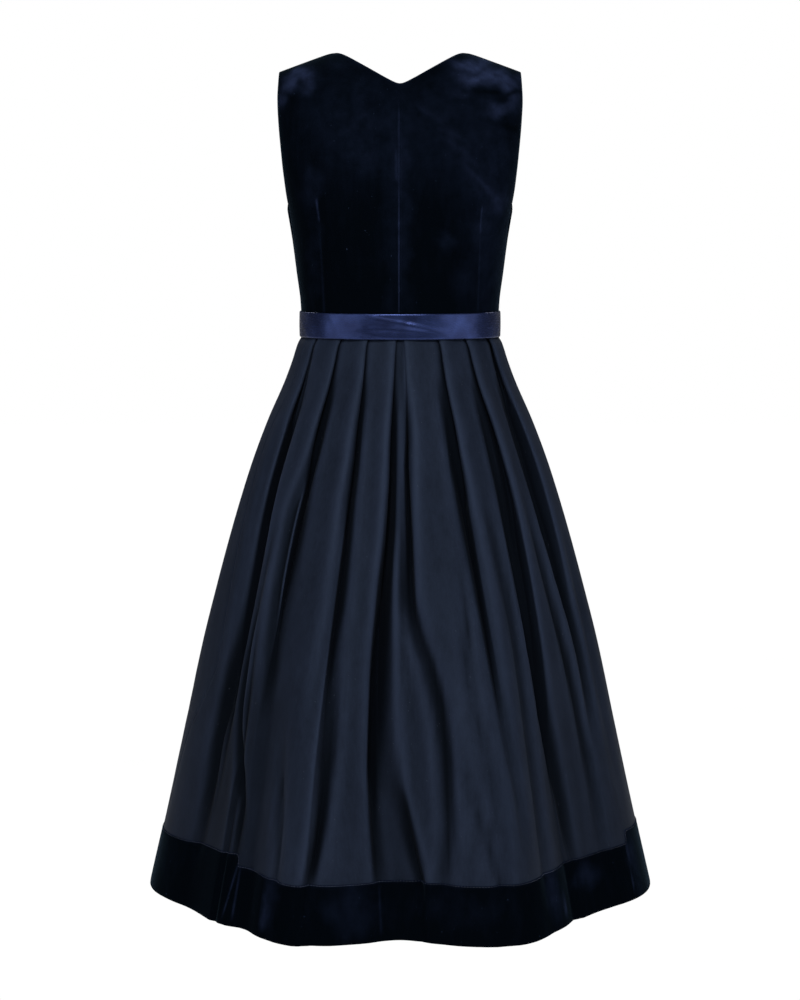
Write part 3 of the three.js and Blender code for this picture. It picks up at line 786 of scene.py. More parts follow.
front_nap = {
    1: nap_patches(
        (84, -150, 60, 70, 0.08), (104, -30, 26, 10, 0.4), (118, -62, 16, 10, 0.2),
        (74, -206, 26, 30, 0.1), (64, -292, 10, 34, 0.08),
    ),
    -1: nap_patches(
        (80, -160, 64, 66, 0.08), (112, -34, 22, 12, 0.45), (126, -74, 12, 12, 0.18),
        (78, -210, 24, 26, 0.1), (62, -286, 9, 40, 0.08),
    ),
}
front_strokes = {
    1: lines(
        (90, -60, 128, -112, 4, 0.07), (73, -240, 62, -332, 1.0, 0.2),
        (1.3, -172, 1.3, -330, 0.8, 0.2),
    ),
    -1: lines(
        (96, -58, 124, -120, 5, 0.06), (73, -240, 62, -332, 1.1, 0.16),
        (1.3, -168, 1.3, -330, 0.8, 0.16),
    ),
}


# %% Nap
def nap_of(x, z, patches, strokes):
    """The brushed nap and painted sheen at points of a panel, from its patches and its strokes."""
    side = x + 3 * np.sin(z / 9 + np.sin(x / 13)) + 1.2 * np.sin(z / 3.1 + x / 7)
    tall = z + 4 * np.sin(x / 9 + 2 * np.sin(z / 17)) + 1.5 * np.sin(x / 3.7 - z / 11)
    nap_and_sheen = 0.0 * x
    for patch in rows_of(patches):
        across, up = (side - patch["x"]) / patch["wide"], (tall - patch["z"]) / patch["high"]
        nap_and_sheen = nap_and_sheen + patch["strength"] * np.exp(-((across**2 + up**2) ** 1.5))
    return nap_and_sheen + relief_of_lines(x, z, strokes, 0.05, 0.25)


# %% Bodice panels
BODICE_DEGREE = 2.2  # millimetres in one degree of turn, about
CALM_SHOULDER, CALM_OVER = 0.35, 20  # creases are shallower on the shoulders
ROLL_STOPS = UNDERARM + 6  # the side seam has no turned edge
# Painted highlights: the rolled edges of the neckline and armholes catch the light as thin pale lines.
NECK_HIGHLIGHT, ARMHOLE_HIGHLIGHT = (0.12, 1.2), (0.05, 1.5)
up = 1 - (1 - np.linspace(0, 1, BODICE_ROWS)) ** ROW_CROWDING
heights = WAIST + (SHOULDER_TIP[1] - WAIST) * up
out_to = SHOULDER_TIP[0], BODICE_COLUMNS
back_columns = crowded(0, *out_to, (0, 8, 2.2), (105, 8, 2.2))
front_columns = crowded(0, *out_to, (0, 8, 1.5), (NECK_HALF_WIDTH, 6, 2.5))
front_columns[np.argmin(np.abs(front_columns - NECK_HALF_WIDTH))] = NECK_HALF_WIDTH


def bodice_panel(name, side, hand):
    """One panel. hand is 1 on the wearer's right and -1 on the left."""
    back = side > 0
    top_edge = back_top if back else front_top
    grid = bodice_grid(side, top_edge, back_columns if back else front_columns, heights)
    x, z = grid[..., 0], grid[..., 2]
    top = top_edge(x)
    relief = relief_of_lines(x, z, (back_creases if back else front_creases)[hand], 0.15, 0.4)
    relief = relief + dart_relief(x, z, back_darts[hand] if back else front_dart)
    relief = relief + centre_relief(x, z) * (1 if back else FRONT_SEAM)
    around = edge_turn(side, z) - turn_at(np.abs(x), z)
    to_armhole = np.abs(around) * BODICE_DEGREE
    relief = relief + np.where(z > ROLL_STOPS, edge_roll(to_armhole), 0)
    neck = (top - z) * np.where(np.abs(x) < NECK_HALF_WIDTH, 1, 9)
    relief = relief + edge_roll(neck)
    below = ease((SHOULDER_TIP[1] - 12 - z) / CALM_OVER)
    inside = ease((top - z) / 3) * ease(x / 1.5)
    grid = grid + directions(grid) * (relief * mix(CALM_SHOULDER, 1, below) * inside)[..., None]
    grid[0, :, 2] = WAIST
    grid[:, 0, 0] = 0
    turned = grid[..., 2] > SHOULDER_FROM
    limit = -side * np.maximum(-side * grid[..., 1], 0)
    grid[..., 1] = np.where(turned, limit, grid[..., 1])
    grid[-1, x[-1] > NECK_HALF_WIDTH - 0.5, 1] = 0
    patches, strokes = (back_nap, back_strokes) if back else (front_nap, front_strokes)
    nap_and_sheen = nap_of(x, z, patches[hand], strokes[hand])
    # Painted highlight along the rolled edges of the neckline and the armholes.
    for distance, mark in ((neck, NECK_HIGHLIGHT), (to_armhole, ARMHOLE_HIGHLIGHT)):
        nap_and_sheen = nap_and_sheen + ridge(distance - mark[1], *mark)
    grid[..., 0] *= hand
    return shell(name, grid, VELVET, velvet, -VELVET / 2, {"nap_and_sheen": nap_and_sheen})


for hand, word in ((-1, "left"), (1, "right")):
    bodice_panel(f"back_bodice_{word}", 1, hand)
    bodice_panel(f"front_bodice_{word}", -1, hand)

# %% [markdown]
# ## The skirt's form and pleats
#
# Below the waist the cloth opens from an oval into a wide ring that waves at the hem. Knife pleats
# are laid at the waist. The folded edge of each laps over the layer below it, then opens, and the
# step between the two layers dies away further down. A pleat is a row of a table: which way its
# edge faces, where it lies at the waist and the hem, where it opens and where it fades.

# %% Skirt sizes
RIBBON_TOP, RIBBON_FOOT = -317.4, -348.6
APRON_FOOT = -950
BORDER_TOP, HEM = -978, -1046
WAVES_FROM, WAVES_FULL = -470, -960
SKIRT, BORDER = 1.2, 2.0

skirt_sections = table(
    "z half_width back front square",
    (-340, 121.6, 92.2, 91.2, 2.2), (-349, 122.6, 93.2, 92.2, 2.2), (-356, 126.5, 96.5, 95, 2.2),
    (-380, 134.5, 104, 101, 2.15), (-404, 143.5, 113, 107, 2.1), (-454, 165.5, 132, 122, 2.05),
    (-504, 184.5, 150, 137, 2), (-555, 201, 165, 152, 2), (-606, 216, 179, 165, 2),
    (-657, 230, 192, 178, 2), (-734, 250, 211, 197, 2), (-837, 272.5, 236, 222, 2),
    (-941, 295.5, 261, 245, 2), (-1046, 320, 285, 268, 2),
)
waves = table(
    "turn rise spread",
    (-60, -24, 16), (-38, -12, 5), (-21.5, 19, 8.5), (0, -27, 8.5), (23.5, 22, 10.5), (55, -29, 17),
    (112, -16, 10), (136, 17, 11), (158, -13, 9), (180, 14, 12), (204, -15, 10), (227, 16, 10),
    (249, -15, 10),
)
back_pleats = table(
    "faces top low opens fades step starts",
    (1, -55.5, -61.5, -470, -975, 1.1, 0), (1, -52, -49, 0, -1400, 0.5, -640),
    (1, -33.7, -42.5, -560, -830, 1, 0), (1, -16.3, -20.6, -600, -1250, 0.9, 0),
    (1, -1.1, -6.6, -520, -1000, 1.15, 0), (-1, 1.1, 5.8, -500, -740, 1, 0),
    (-1, 20, 28.3, -560, -900, 0.95, 0), (-1, 38.4, 50, -600, -1400, 1, 0),
    (-1, 62.3, 71.5, -440, -760, 1.25, 0),
)
front_pleats = table(
    "faces top low opens fades step starts",
    (1, 118, 113, -500, -880, 1, 0), (1, 138, 136, -560, -1000, 0.9, 0),
    (1, 158, 158, -560, -820, 1, 0), (-1, 202, 203, -540, -960, 1, 0),
    (-1, 222, 226, -600, -800, 0.9, 0), (-1, 242, 248, -500, -900, 1, 0),
)
pleat_depths = table(
    "z depth",
    (-340, 6), (-356, 7), (-400, 9.5), (-460, 13), (-560, 16), (-700, 12), (-850, 9), (-1046, 7),
)
left_seam = table(
    "z turn",
    (-340, -65), (-404, -66), (-470, -71), (-620, -69.5), (-740, -68), (-794, -73), (-850, -80),
    (-1046, -90),
)
RIGHT_SEAM = 92
CLIMB = (0.07, 0.3, 0.6, 0.84)  # where the cloth between two pleats climbs out of a valley
SINKS = np.array([0, 0.04, 0.25, 0.5, 0.75, 0.96, 1])  # how far each station of a pleat has sunk
HEM_DEGREE = 5.3  # millimetres of cloth in one degree of turn at the hem
LAP, SPREAD = 9, 13  # how far a pleat laps at the waist, and how far apart it stands at the hem
NOSE, SHOULDER = 1.6, 3.5  # the rounding of a folded edge, and of the cloth beside it
DRIFT_OVER, FADE_OVER = 200, 260  # heights in which an edge moves outwards and a step dies away
SOFT_GROWS, SOFT_SPREAD = 200, 0.6  # a pleat that starts below the waist is soft


# %% Skirt form
def skirt_form(turn, z):
    """The smooth form with the hem's waves, before any pleat."""
    place = oval(skirt_sections, turn, z)
    grown = ease((WAVES_FROM - z) / (WAVES_FROM - WAVES_FULL))
    rise = 0
    for wave in rows_of(waves):
        away = (turn - wave["turn"] + 540) % 360 - 180
        rise = rise + wave["rise"] * grown * bump(away, wave["spread"])
    radius = np.linalg.norm(place, axis=-1)
    return place * (1 + rise / radius)[..., None]


def degree_at(turn, z):
    """Millimetres of cloth in one degree of turn."""
    return np.linalg.norm(step_of(skirt_form, turn, z), axis=-1)


# %% Pleats
def pleat_stations(fold, z):
    """The turns and sinks of one pleat's folded edge and valley, a row for each height."""
    drift = 1 - np.exp(-(WAIST - z) / DRIFT_OVER)
    edge = mix(fold["top"], fold["low"], drift)
    size = degree_at(edge, z)
    soft = fold["starts"] < 0
    begun = ease((fold["starts"] - z) / SOFT_GROWS) if soft else 1
    left = ease((z - fold["fades"]) / FADE_OVER)
    depth = read(pleat_depths, "depth", z) * fold["step"] * begun * left
    lapped = 0 * z if soft else np.maximum((z - fold["opens"]) / (WAIST - fold["opens"]), 0)
    girth = size / HEM_DEGREE
    opening = np.maximum((fold["opens"] - z) / (fold["opens"] - HEM), 0)
    opened = SOFT_SPREAD * girth if soft else opening
    lap = LAP * lapped - SPREAD * opened
    folded = ease(lapped * 4)
    nose = NOSE * folded
    crest = -(nose + folded * SKIRT / 2)
    valley = crest - lap
    apart = np.maximum(-lap, 0)
    shoulder = SHOULDER * girth if soft else SHOULDER + 0 * z
    shifts = (
        crest - shoulder,
        crest,
        crest + nose + apart / 5,
        (crest + valley) / 2,
        valley - nose - apart / 5,
        valley,
        valley + shoulder,
    )
    turns = [edge + fold["faces"] * shift / size for shift in shifts]
    sunk = [share * depth for share in SINKS]
    order = 1 if fold["faces"] > 0 else -1
    return turns[::order], sunk[::order]


def ring_stations(folds, start, end, z):
    """All stations between two seams. Between two pleats the cloth rises to the next edge."""
    turns, sinks = [start], [0 * z]

    def bridge(turn, sink):
        from_turn, from_sink = turns[-1], sinks[-1]
        leaves_valley = np.mean(from_sink) > np.mean(sink)
        for from_valley in CLIMB if leaves_valley else CLIMB[::-1]:
            last = ease((from_valley - 0.65) / 0.35)
            climbed = 0.5 * ease(from_valley * 5) + 0.25 * from_valley + 0.25 * last
            share = from_valley if leaves_valley else 1 - from_valley
            turns.append(mix(from_turn, turn, share))
            sinks.append(np.maximum(from_sink, sink) * (1 - climbed))

    for fold in rows_of(folds):
        fold_turns, fold_sinks = pleat_stations(fold, z)
        bridge(fold_turns[0], fold_sinks[0])
        turns += fold_turns
        sinks += fold_sinks
    bridge(end, 0 * z)
    return np.stack(turns + [end], 1), np.stack(sinks + [0 * z], 1)


def curves_through(points, steps):
    """Centripetal Catmull-Rom curves through each row of a grid of points."""
    gap = np.sqrt(np.linalg.norm(np.diff(points, axis=1), axis=-1, keepdims=True)) + 1e-6
    slope = np.diff(points, axis=1) / gap
    wide = (points[:, 2:] - points[:, :-2]) / (gap[:, :-1] + gap[:, 1:])
    tangent = np.concatenate([slope[:, :1], slope[:, :-1] + slope[:, 1:] - wide, slope[:, -1:]], 1)
    t = (np.arange(steps) / steps)[:, None]
    start, end = points[:, :-1, None], points[:, 1:, None]
    pull, push = (tangent[:, :-1] * gap)[:, :, None], (tangent[:, 1:] * gap)[:, :, None]
    fine = hermite(t, start, end, pull, push)
    rows, count = points.shape[0], points.shape[1] - 1
    fine = fine.reshape(rows, count * steps, points.shape[-1])
    return np.concatenate([fine, points[:, -1:]], 1)


# %% [markdown]
# ## Soft folds in the skirt
#
# Between and below the pleats the cloth falls in soft folds. The pleats' valleys run on down into
# them, wander a little and join others, and no two are alike. Each fold is a table of its own: at
# each height its turn, its rise above the smooth form and its width. A valley's rise is negative.
#
# The finish paints light and shade from two marks made here. One, fold, is how deep a point lies
# between higher neighbours, and it grows low at the skirt's sides, whose cloth hangs in their
# shade. The finish darkens the cloth by it as painted shade. The other, crest, is how far a point
# stands up from the cloth beside it, and the finish lightens it as a painted highlight.

# %% Soft folds at the back
back_folds = [
    soft_fold((-430, -60, 0, 7), (-500, -61, -3, 8), (-650, -62, -3, 8), (-760, -63, 0, 8)),
    soft_fold(
        (-390, -52, 0, 8), (-470, -54, -8, 9), (-600, -57, -13, 9), (-700, -58.5, -15, 9),
        (-785, -61.5, -15, 10), (-850, -63.5, -13, 10), (-920, -63, -7, 11), (-985, -63, -2, 13),
    ),
    soft_fold(
        (-560, -48, 0, 8), (-640, -50, -5, 7), (-730, -52, -9, 7), (-780, -52, -10, 7),
        (-830, -50.5, -10, 7), (-875, -46.5, -10, 8), (-920, -44, -8, 8), (-985, -44, -3, 9),
    ),
    soft_fold(
        (-390, -33.5, 0, 6), (-470, -36, -6, 6), (-565, -41.5, -10, 8), (-640, -42.3, -10, 8),
        (-700, -41.5, -8, 9), (-750, -40.5, -5, 9), (-810, -41, 0, 9),
    ),
    soft_fold((-790, -31.5, 0, 8), (-845, -31, -4, 8), (-890, -29.5, -7, 8), (-985, -28, -5, 8)),
    soft_fold(
        (-390, -16.6, 0, 6), (-470, -18, -6, 6), (-560, -19.2, -9, 8), (-650, -18.9, -9, 10),
        (-760, -20.8, -5, 10), (-830, -21.4, 0, 10),
    ),
    soft_fold((-700, -17, 0, 9), (-790, -17, -5, 9), (-890, -17.4, -8, 7), (-985, -20, -9, 7)),
    soft_fold(
        (-390, -1.6, 0, 5), (-470, -2.7, -6, 5), (-560, -3.6, -11, 6), (-650, -5.3, -21, 6),
        (-745, -6.2, -28, 6.8), (-840, -6.4, -25, 6.8), (-890, -6.2, -13, 6.5), (-985, -4.6, -4, 8),
    ),
    soft_fold(
        (-390, 2, 0, 5), (-470, 3, -8, 6), (-560, 2.5, -9, 7), (-640, 2.7, -9, 8),
        (-690, 4.6, -10, 9), (-730, 7.6, -12, 10), (-780, 10, -14, 10), (-840, 11, -14, 9),
        (-905, 11, -11, 9), (-985, 9.5, -6, 9),
    ),
    soft_fold((-870, 0.5, 0, 6), (-905, 1.5, -4, 6), (-945, 3, -8, 6), (-985, 5, -8, 6)),
    soft_fold((-840, 14.5, 0, 8), (-905, 18, -6, 8), (-985, 21.5, -8, 8)),
    soft_fold(
        (-560, -0.8, 0, 5), (-630, -1.6, 3, 6), (-720, -1, 6, 9), (-790, -0.5, 9, 14),
        (-850, 1, 9, 14), (-905, 4, 5, 10), (-960, 6.8, 2, 7),
    ),
    soft_fold(
        (-390, 18.8, 0, 6), (-467, 21.1, -6, 6), (-560, 24.4, -8, 8), (-655, 26.2, -7, 8),
        (-750, 26.6, -6, 8), (-890, 28.2, -4, 8), (-950, 28.5, 0, 8),
    ),
    soft_fold(
        (-600, 18.5, 0, 6), (-675, 19.2, -5, 6), (-723, 18.2, -7, 6), (-770, 18.6, -6, 7),
        (-816, 20, -5, 7), (-900, 22, -4, 8), (-985, 23, -3, 8),
    ),
    soft_fold(
        (-390, 38.2, 0, 6), (-470, 39.7, -7, 6), (-565, 41.8, -10, 8), (-660, 43.5, -13, 8),
        (-731, 45, -14, 8), (-790, 46.2, -14, 8), (-850, 48.5, -13, 8), (-924, 50, -11, 8),
        (-985, 50, -5, 9),
    ),
    soft_fold(
        (-520, 31.8, 0, 7), (-610, 33.9, -5, 8), (-705, 36.3, -6, 9), (-890, 36.5, -6, 10),
        (-985, 35.2, -4, 10),
    ),
    soft_fold(
        (-390, 59.5, 0, 7), (-473, 60.5, -8, 9), (-570, 63.5, -11, 9), (-640, 66, -13, 9),
        (-700, 68, -12, 9), (-765, 69, -9, 10), (-860, 68, 0, 10),
    ),
    soft_fold(
        (-530, 52.5, 0, 7), (-615, 55.5, -6, 7), (-712, 59.5, -8, 7), (-813, 63, -7, 8),
        (-900, 64, -5, 9), (-985, 63, -2, 10),
    ),
    soft_fold((-560, 74, 0, 9), (-700, 75, -4, 10), (-960, 76, 0, 10)),
]
# %% Soft folds at the front
front_folds = [
    soft_fold((-420, 104, 0, 8), (-640, 104, -6, 10), (-960, 102, -2, 12)),
    soft_fold((-400, 117, 0, 8), (-600, 115, -8, 9), (-900, 113, -5, 11)),
    soft_fold((-500, 127, 0, 8), (-760, 126, -5, 10), (-980, 124, -5, 10)),
    soft_fold((-400, 138, 0, 8), (-620, 137, -7, 9), (-940, 136, -6, 10)),
    soft_fold((-560, 149, 0, 9), (-740, 148, -4, 10), (-980, 148, -4, 11)),
    soft_fold((-400, 159, 0, 8), (-640, 159, -7, 9), (-960, 160, -4, 10)),
    soft_fold((-480, 176, 0, 9), (-700, 177, -5, 11), (-980, 178, -4, 12)),
    soft_fold((-400, 201, 0, 8), (-600, 202, -7, 9), (-930, 203, -5, 10)),
    soft_fold((-540, 212, 0, 8), (-760, 213, -5, 9), (-980, 215, -4, 10)),
    soft_fold((-400, 222, 0, 8), (-620, 225, -8, 9), (-950, 227, -5, 11)),
    soft_fold((-400, 242, 0, 8), (-660, 247, -7, 10), (-940, 249, -4, 12)),
    soft_fold((-480, 258, 0, 9), (-700, 260, -5, 10), (-960, 261, -2, 12)),
]
print(len(back_folds), "soft folds at the back,", len(front_folds), "at the front")


# %% The folds' relief
def relief_of(folds, turn, z):
    relief = 0
    for fold in folds:
        beside = ((turn - read(fold, "turn", z) + 540) % 360 - 180) * degree_at(turn, z)
        rise = np.where(z < fold["z"][0], read(fold, "rise", z), 0)
        relief = relief + rise * bump(beside, read(fold, "width", z))
    return relief


HEM_SHARE, HEM_FADE = 0.15, 90  # the folds die away in the border, but not quite


def fold_relief(turn, z):
    return relief_of(back_folds + front_folds, turn, z) * mix(HEM_SHARE, 1, ease((z - HEM) / HEM_FADE))


# %% Marks for the finish
SHELTER_POINTS, SHELTER_REACH = 44, 110  # a point looks past so many others, and so many millimetres


# The finish darkens the cloth by this as painted shade.
def shelter(flat, outwards):
    """How far each point of a ring lies between higher neighbours: 0 in the open, 1 buried."""
    along = np.stack([-outwards[..., 1], outwards[..., 0]], -1)
    columns = np.arange(flat.shape[1])
    horizons = []
    for hand in (1, -1):
        horizon = np.zeros(flat.shape[:2])
        for k in range(1, SHELTER_POINTS):
            other = np.clip(columns + hand * k, 0, columns[-1])
            away = flat[:, other] - flat
            up = np.sum(away * outwards, -1)
            beside = np.abs(np.sum(away * along, -1))
            seen = np.where(beside < SHELTER_REACH, np.arctan2(up, beside + 0.5), 0)
            horizon = np.maximum(horizon, seen)
        horizons.append(np.sin(horizon))
    return sum(horizons) / 2


EVEN_STEP, CREST_SPREAD = 2.0, 11  # millimetres along a row
# A ridge this high gets the full painted highlight in the finish.
CREST_HEIGHT = 2.4  # this far above the cloth beside it, a ridge is at its palest


def crests(rise, run):
    """How far a row's points stand above the cloth beside them: 0 on the level, 1 on a ridge."""
    even = np.arange(0, run[-1], EVEN_STEP)
    level = np.interp(even, run, rise)
    reach = int(2 * CREST_SPREAD / EVEN_STEP)
    weight = bump(np.arange(-reach, reach + 1) * EVEN_STEP, CREST_SPREAD)
    soft = np.convolve(np.pad(level, reach, mode="edge"), weight / weight.sum(), "valid")
    return np.clip(np.interp(run, even, level - soft) / CREST_HEIGHT, 0, 1)


SHADE_FROM, SHADE_GROWS = -620, 190
shades = table("turn shade spread", (-54, 0.28, 20), (54, 0.17, 17), (126, 0.17, 18), (234, 0.17, 18))


def shade_of(turn, z):
    """The wide soft shade low at the skirt's sides, where its waves turn away from the light."""
    low = ease((SHADE_FROM - z) / SHADE_GROWS)
    return low * sum(ridge(turn - s["turn"], s["shade"], s["spread"]) for s in rows_of(shades))


def crest_of(flat, rise):
    steps = np.linalg.norm(np.diff(flat, axis=1), axis=-1)
    runs = np.concatenate([np.zeros((len(flat), 1)), np.cumsum(steps, axis=1)], 1)
    return np.stack([crests(*row) for row in zip(rise, runs)])


# %% Skirt panels
def skirt_grid(folds, left, right, z, steps):
    """The grid of a skirt panel, its turns, and the marks of its folds for the finish."""
    turns, sinks = ring_stations(folds, left, right, z)
    tall = np.broadcast_to(z[:, None], turns.shape)
    flat = skirt_form(turns, tall) - outwards_of(skirt_form, turns, tall) * sinks[..., None]
    fine = curves_through(np.concatenate([flat, turns[..., None]], -1), steps)
    flat, turn = fine[..., :2], fine[..., 2]
    tall = np.broadcast_to(z[:, None], turn.shape)
    outwards = outwards_of(skirt_form, turn, tall)
    flat = flat + outwards * fold_relief(turn, tall)[..., None]
    rise = np.sum((flat - skirt_form(turn, tall)) * outwards, -1)
    # fold is painted shade in the finish, and crest a painted highlight on the ridges.
    fold = shelter(flat, outwards) + shade_of(turn, tall)
    marks = {"fold": fold, "crest": crest_of(flat, rise)}
    return np.concatenate([flat, tall[..., None]], -1), turn, marks


TUCK = 4  # millimetres that the skirt's cloth runs on inside its border
SKIRT_ROWS = 118
skirt_rows = crowded(WAIST, BORDER_TOP - TUCK, SKIRT_ROWS, (-350, 30, 1.2))
# each panel's pleats, and its points from one station to the next
panels = {"back": (back_pleats, 3), "front": (front_pleats, 4)}


def panel_grid(side, z):
    left, right = read(left_seam, "turn", z), RIGHT_SEAM + 0 * z
    start, end = (left, right) if side == "back" else (right, 360 + left)
    folds, steps = panels[side]
    return skirt_grid(folds, start, end, z, steps)


for side in panels:
    grid, _, marks = panel_grid(side, skirt_rows)
    shell(f"{side}_skirt", grid, SKIRT, cloth, 0, marks)

# %% [markdown]
# ## The velvet border
#
# The border is a wide band of velvet laid over the skirt's foot. Its upper edge isn't quite level:
# it rides up at the left and steps down where its cloth was folded and sewn again. Pressed lines
# run down it below the skirt's folds. They and its brushed patches are drawn only in its colour,
# as pressed pile with painted sheen. The tables measure round the hem from the centre back.

# %% Border
BORDER_ROWS, EDGE_ROOM = 30, 26
PROUD = (BORDER - SKIRT) / 2 + 0.1
# Painted highlight: the border's rolled upper edge catches the light as a thin pale line.
EDGE_HIGHLIGHT, EDGE_HIGHLIGHT_INSIDE = (0.26, 1.3), 0.4
border_edge = {
    "turn": (-90, -72, -60, -42.6, -42.1, -34, -26, 72.8, 73.3, 92, 112, 132, 158, 184, 214, 242, 270),
    "rise": (6, 8, 12, 16, 3, 2, 0, 1, 16, 14, 9, 0, 3, -1, 4, 1, 6),
}
border_nap = nap_patches(
    (-430, -1006, 46, 22, 0.03), (-150, -1000, 10, 34, 0.1), (-55, -1010, 32, 28, 0.09),
    (70, -1004, 60, 20, 0.03), (200, -1002, 16, 36, 0.17), (290, -1000, 28, 14, 0.15),
    (396, -1002, 14, 38, 0.12), (600, -1006, 40, 22, 0.07), (790, -1000, 34, 26, 0.06),
    (985, -1010, 44, 20, 0.08), (1210, -1002, 36, 28, 0.06),
)
border_strokes = lines(
    (-222, -968, -236, -1040, 1.5, 0.3), (-219, -974, -220, -1040, 1.4, 0.26),
    (-162, -974, -160, -1040, 1.8, 0.34), (-26, -980, -23, -1040, 1.6, 0.1),
    (184, -976, 185, -1040, 1.6, 0.18), (219, -970, 226, -1040, 1.8, 0.42),
    (389, -958, 379, -1040, 1.5, 0.3), (700, -978, 706, -1040, 1.3, 0.2),
    (902, -978, 896, -1040, 1.2, 0.24), (1118, -978, 1124, -1040, 1.4, 0.18),
)


def border_panel(side):
    """A band of the border. Each column of an upright grid is cut off at the uneven edge."""
    z = np.linspace(BORDER_TOP + EDGE_ROOM, HEM, 2 * BORDER_ROWS)
    tall, turn, _ = panel_grid(side, z)
    top = BORDER_TOP + np.interp(turn[-1], border_edge["turn"], border_edge["rise"])
    cut = mix(top, HEM, np.linspace(0, 1, BORDER_ROWS)[:, None])
    place = (z[0] - cut) / (z[0] - z[1])
    above = np.minimum(place.astype(int), len(z) - 2)
    column = np.arange(len(top))[None]
    share = place - above
    grid = mix(tall[above, column], tall[above + 1, column], share[..., None])
    turn = mix(turn[above, column], turn[above + 1, column], share)
    nap_and_sheen = nap_of(turn * HEM_DEGREE, grid[..., 2], border_nap, border_strokes)
    # Painted highlight along the border's rolled upper edge.
    nap_and_sheen = nap_and_sheen + ridge(top - grid[..., 2] - EDGE_HIGHLIGHT_INSIDE, *EDGE_HIGHLIGHT)
    shell(f"{side}_border", grid, BORDER, velvet, PROUD, {"nap_and_sheen": nap_and_sheen})
    return grid


bands = {side: border_panel(side) for side in panels}

# %% [markdown]
# ## Stitches
#
# A row of hand stitches holds the border's upper edge down. A stitch is a short bead of thread,
# pinched at both ends where it dives into the cloth. One function lays them along any line on the
# cloth, and joins them into one mesh, because nobody moves a single stitch.


# %% Stitches
def stitches(name, line, outwards, pitch, length, radius):
    """Beads of thread along a line of points. The line's unit normals point out of the cloth."""
    run = np.r_[0, np.cumsum(np.linalg.norm(np.diff(line, axis=0), axis=-1))]
    starts = np.arange(pitch, run[-1] - pitch, pitch)
    starts = starts + 0.12 * pitch * np.sin(starts * 1.7)
    at = starts[:, None] + length * np.array([0, 0.28, 0.72, 1])
    middle = np.stack([np.interp(at, run, line[:, k]) for k in range(3)], -1)
    out = np.stack([np.interp(at, run, outwards[:, k]) for k in range(3)], -1)
    along = middle[:, 3:] - middle[:, :1]
    along = along / np.linalg.norm(along, axis=-1, keepdims=True)
    beside = np.cross(np.broadcast_to(along, out.shape), out)
    size = radius * np.array([0.4, 1, 1, 0.4])[:, None, None]
    corners = np.radians([0, 90, 180, 270])[:, None]
    ring = np.cos(corners) * beside[:, :, None] + np.sin(corners) * out[:, :, None]
    points = (middle + out * radius * 0.4)[:, :, None] + ring * size
    first = 16 * np.arange(len(starts))[:, None, None]
    turn, step = np.meshgrid(np.arange(4), np.arange(3))
    here, there = 4 * step + turn, 4 * step + (turn + 1) % 4
    sides = np.stack([here, there, there + 4, here + 4], -1).reshape(-1, 4)
    bead = np.concatenate([sides, [[3, 2, 1, 0], [12, 13, 14, 15]]])
    faces = (first + bead[None]).reshape(-1, 4)
    points = points.reshape(-1, 3) * MM
    return add_mesh(name, points, faces.tolist(), thread, points[:, :2], {})


STITCH_PITCH, STITCH_LENGTH, STITCH_RADIUS = 3.6, 2.0, 0.22
STITCH_INSET = 0.45  # rows of the band's grid below its edge


for side, band in bands.items():
    surface = directions(band)[1]
    line = mix(band[0], band[1], STITCH_INSET) + surface * (PROUD + BORDER / 2)
    stitches(f"{side}_border_stitches", line, surface, STITCH_PITCH, STITCH_LENGTH, STITCH_RADIUS)

# %% [markdown]
# ## The ribbon
#
# The apron's ribbon lies round the waist over the seam between bodice and skirt. It is a straight
# strip on a body that isn't, so it cups a little and takes soft slanting creases.

# %% Ribbon
RIBBON, RIBBON_CUP = 1.4, 0.35  # its thickness, and how far its two edges bend inwards
RIBBON_POINTS = 240, 22
ribbon_section = table("z half_width back front square", *[(z, 124.9, 96.1, 95, 2.2) for z in (0, -1)])
ribbon_creases = lines(
    (-84, -320, -48, -346, 5, 0.5), (-40, -334, 36, -340, 3, -0.5), (8, -326, 80, -342, 4, -0.6),
    (-36, -321, 24, -334, 3.2, 0.6), (-60, -337, -8, -346, 2.6, 0.4), (0, -330, 60, -345, 3, 0.5),
    (32, -322, 72, -330, 3, 0.4), (60, -346, 94, -328, 5, 0.3), (-68, -344, -24, -330, 4, 0.4),
    (-160, -322, -124, -344, 5, 0.5), (140, -344, 168, -324, 5, 0.5),
    (220, -322, 264, -342, 5, 0.5), (300, -344, 336, -326, 4, 0.5), (448, -322, 480, -342, 5, 0.5),
)
RIBBON_DEGREE = 2.0  # the creases count about so many millimetres in one degree of turn


def ribbon_form(turn, z):
    return oval(ribbon_section, turn, z)


def ribbon_point(turn, off):
    outwards = outwards_of(ribbon_form, turn, 0)
    return ribbon_form(turn, 0) + outwards * np.asarray(off)[..., None]


def ribbon_panel(name, start, end):
    turns = np.linspace(start, end, RIBBON_POINTS[0])
    turn, z = np.meshgrid(turns, np.linspace(RIBBON_TOP, RIBBON_FOOT, RIBBON_POINTS[1]))
    middle = (RIBBON_TOP + RIBBON_FOOT) / 2
    half = (RIBBON_TOP - RIBBON_FOOT) / 2
    off = relief_of_lines(turn * RIBBON_DEGREE, z, ribbon_creases, 0.1, 0.35)
    off = off - RIBBON_CUP * ((z - middle) / half) ** 2
    grid = np.concatenate([ribbon_point(turn, off), z[..., None]], -1)
    return shell(name, grid, RIBBON, satin)


ribbon_panel("back_ribbon", -92, 92)
ribbon_panel("front_ribbon", 92, 268)

# %% [markdown]
# ## The apron
#
# The apron is one panel of the skirt's cloth, gathered into the ribbon at the front. Its gathers
# start small and close under the ribbon and run together into a dozen soft folds, given in tables
# like the skirt's own. A narrow hem is turned up round its three free edges.

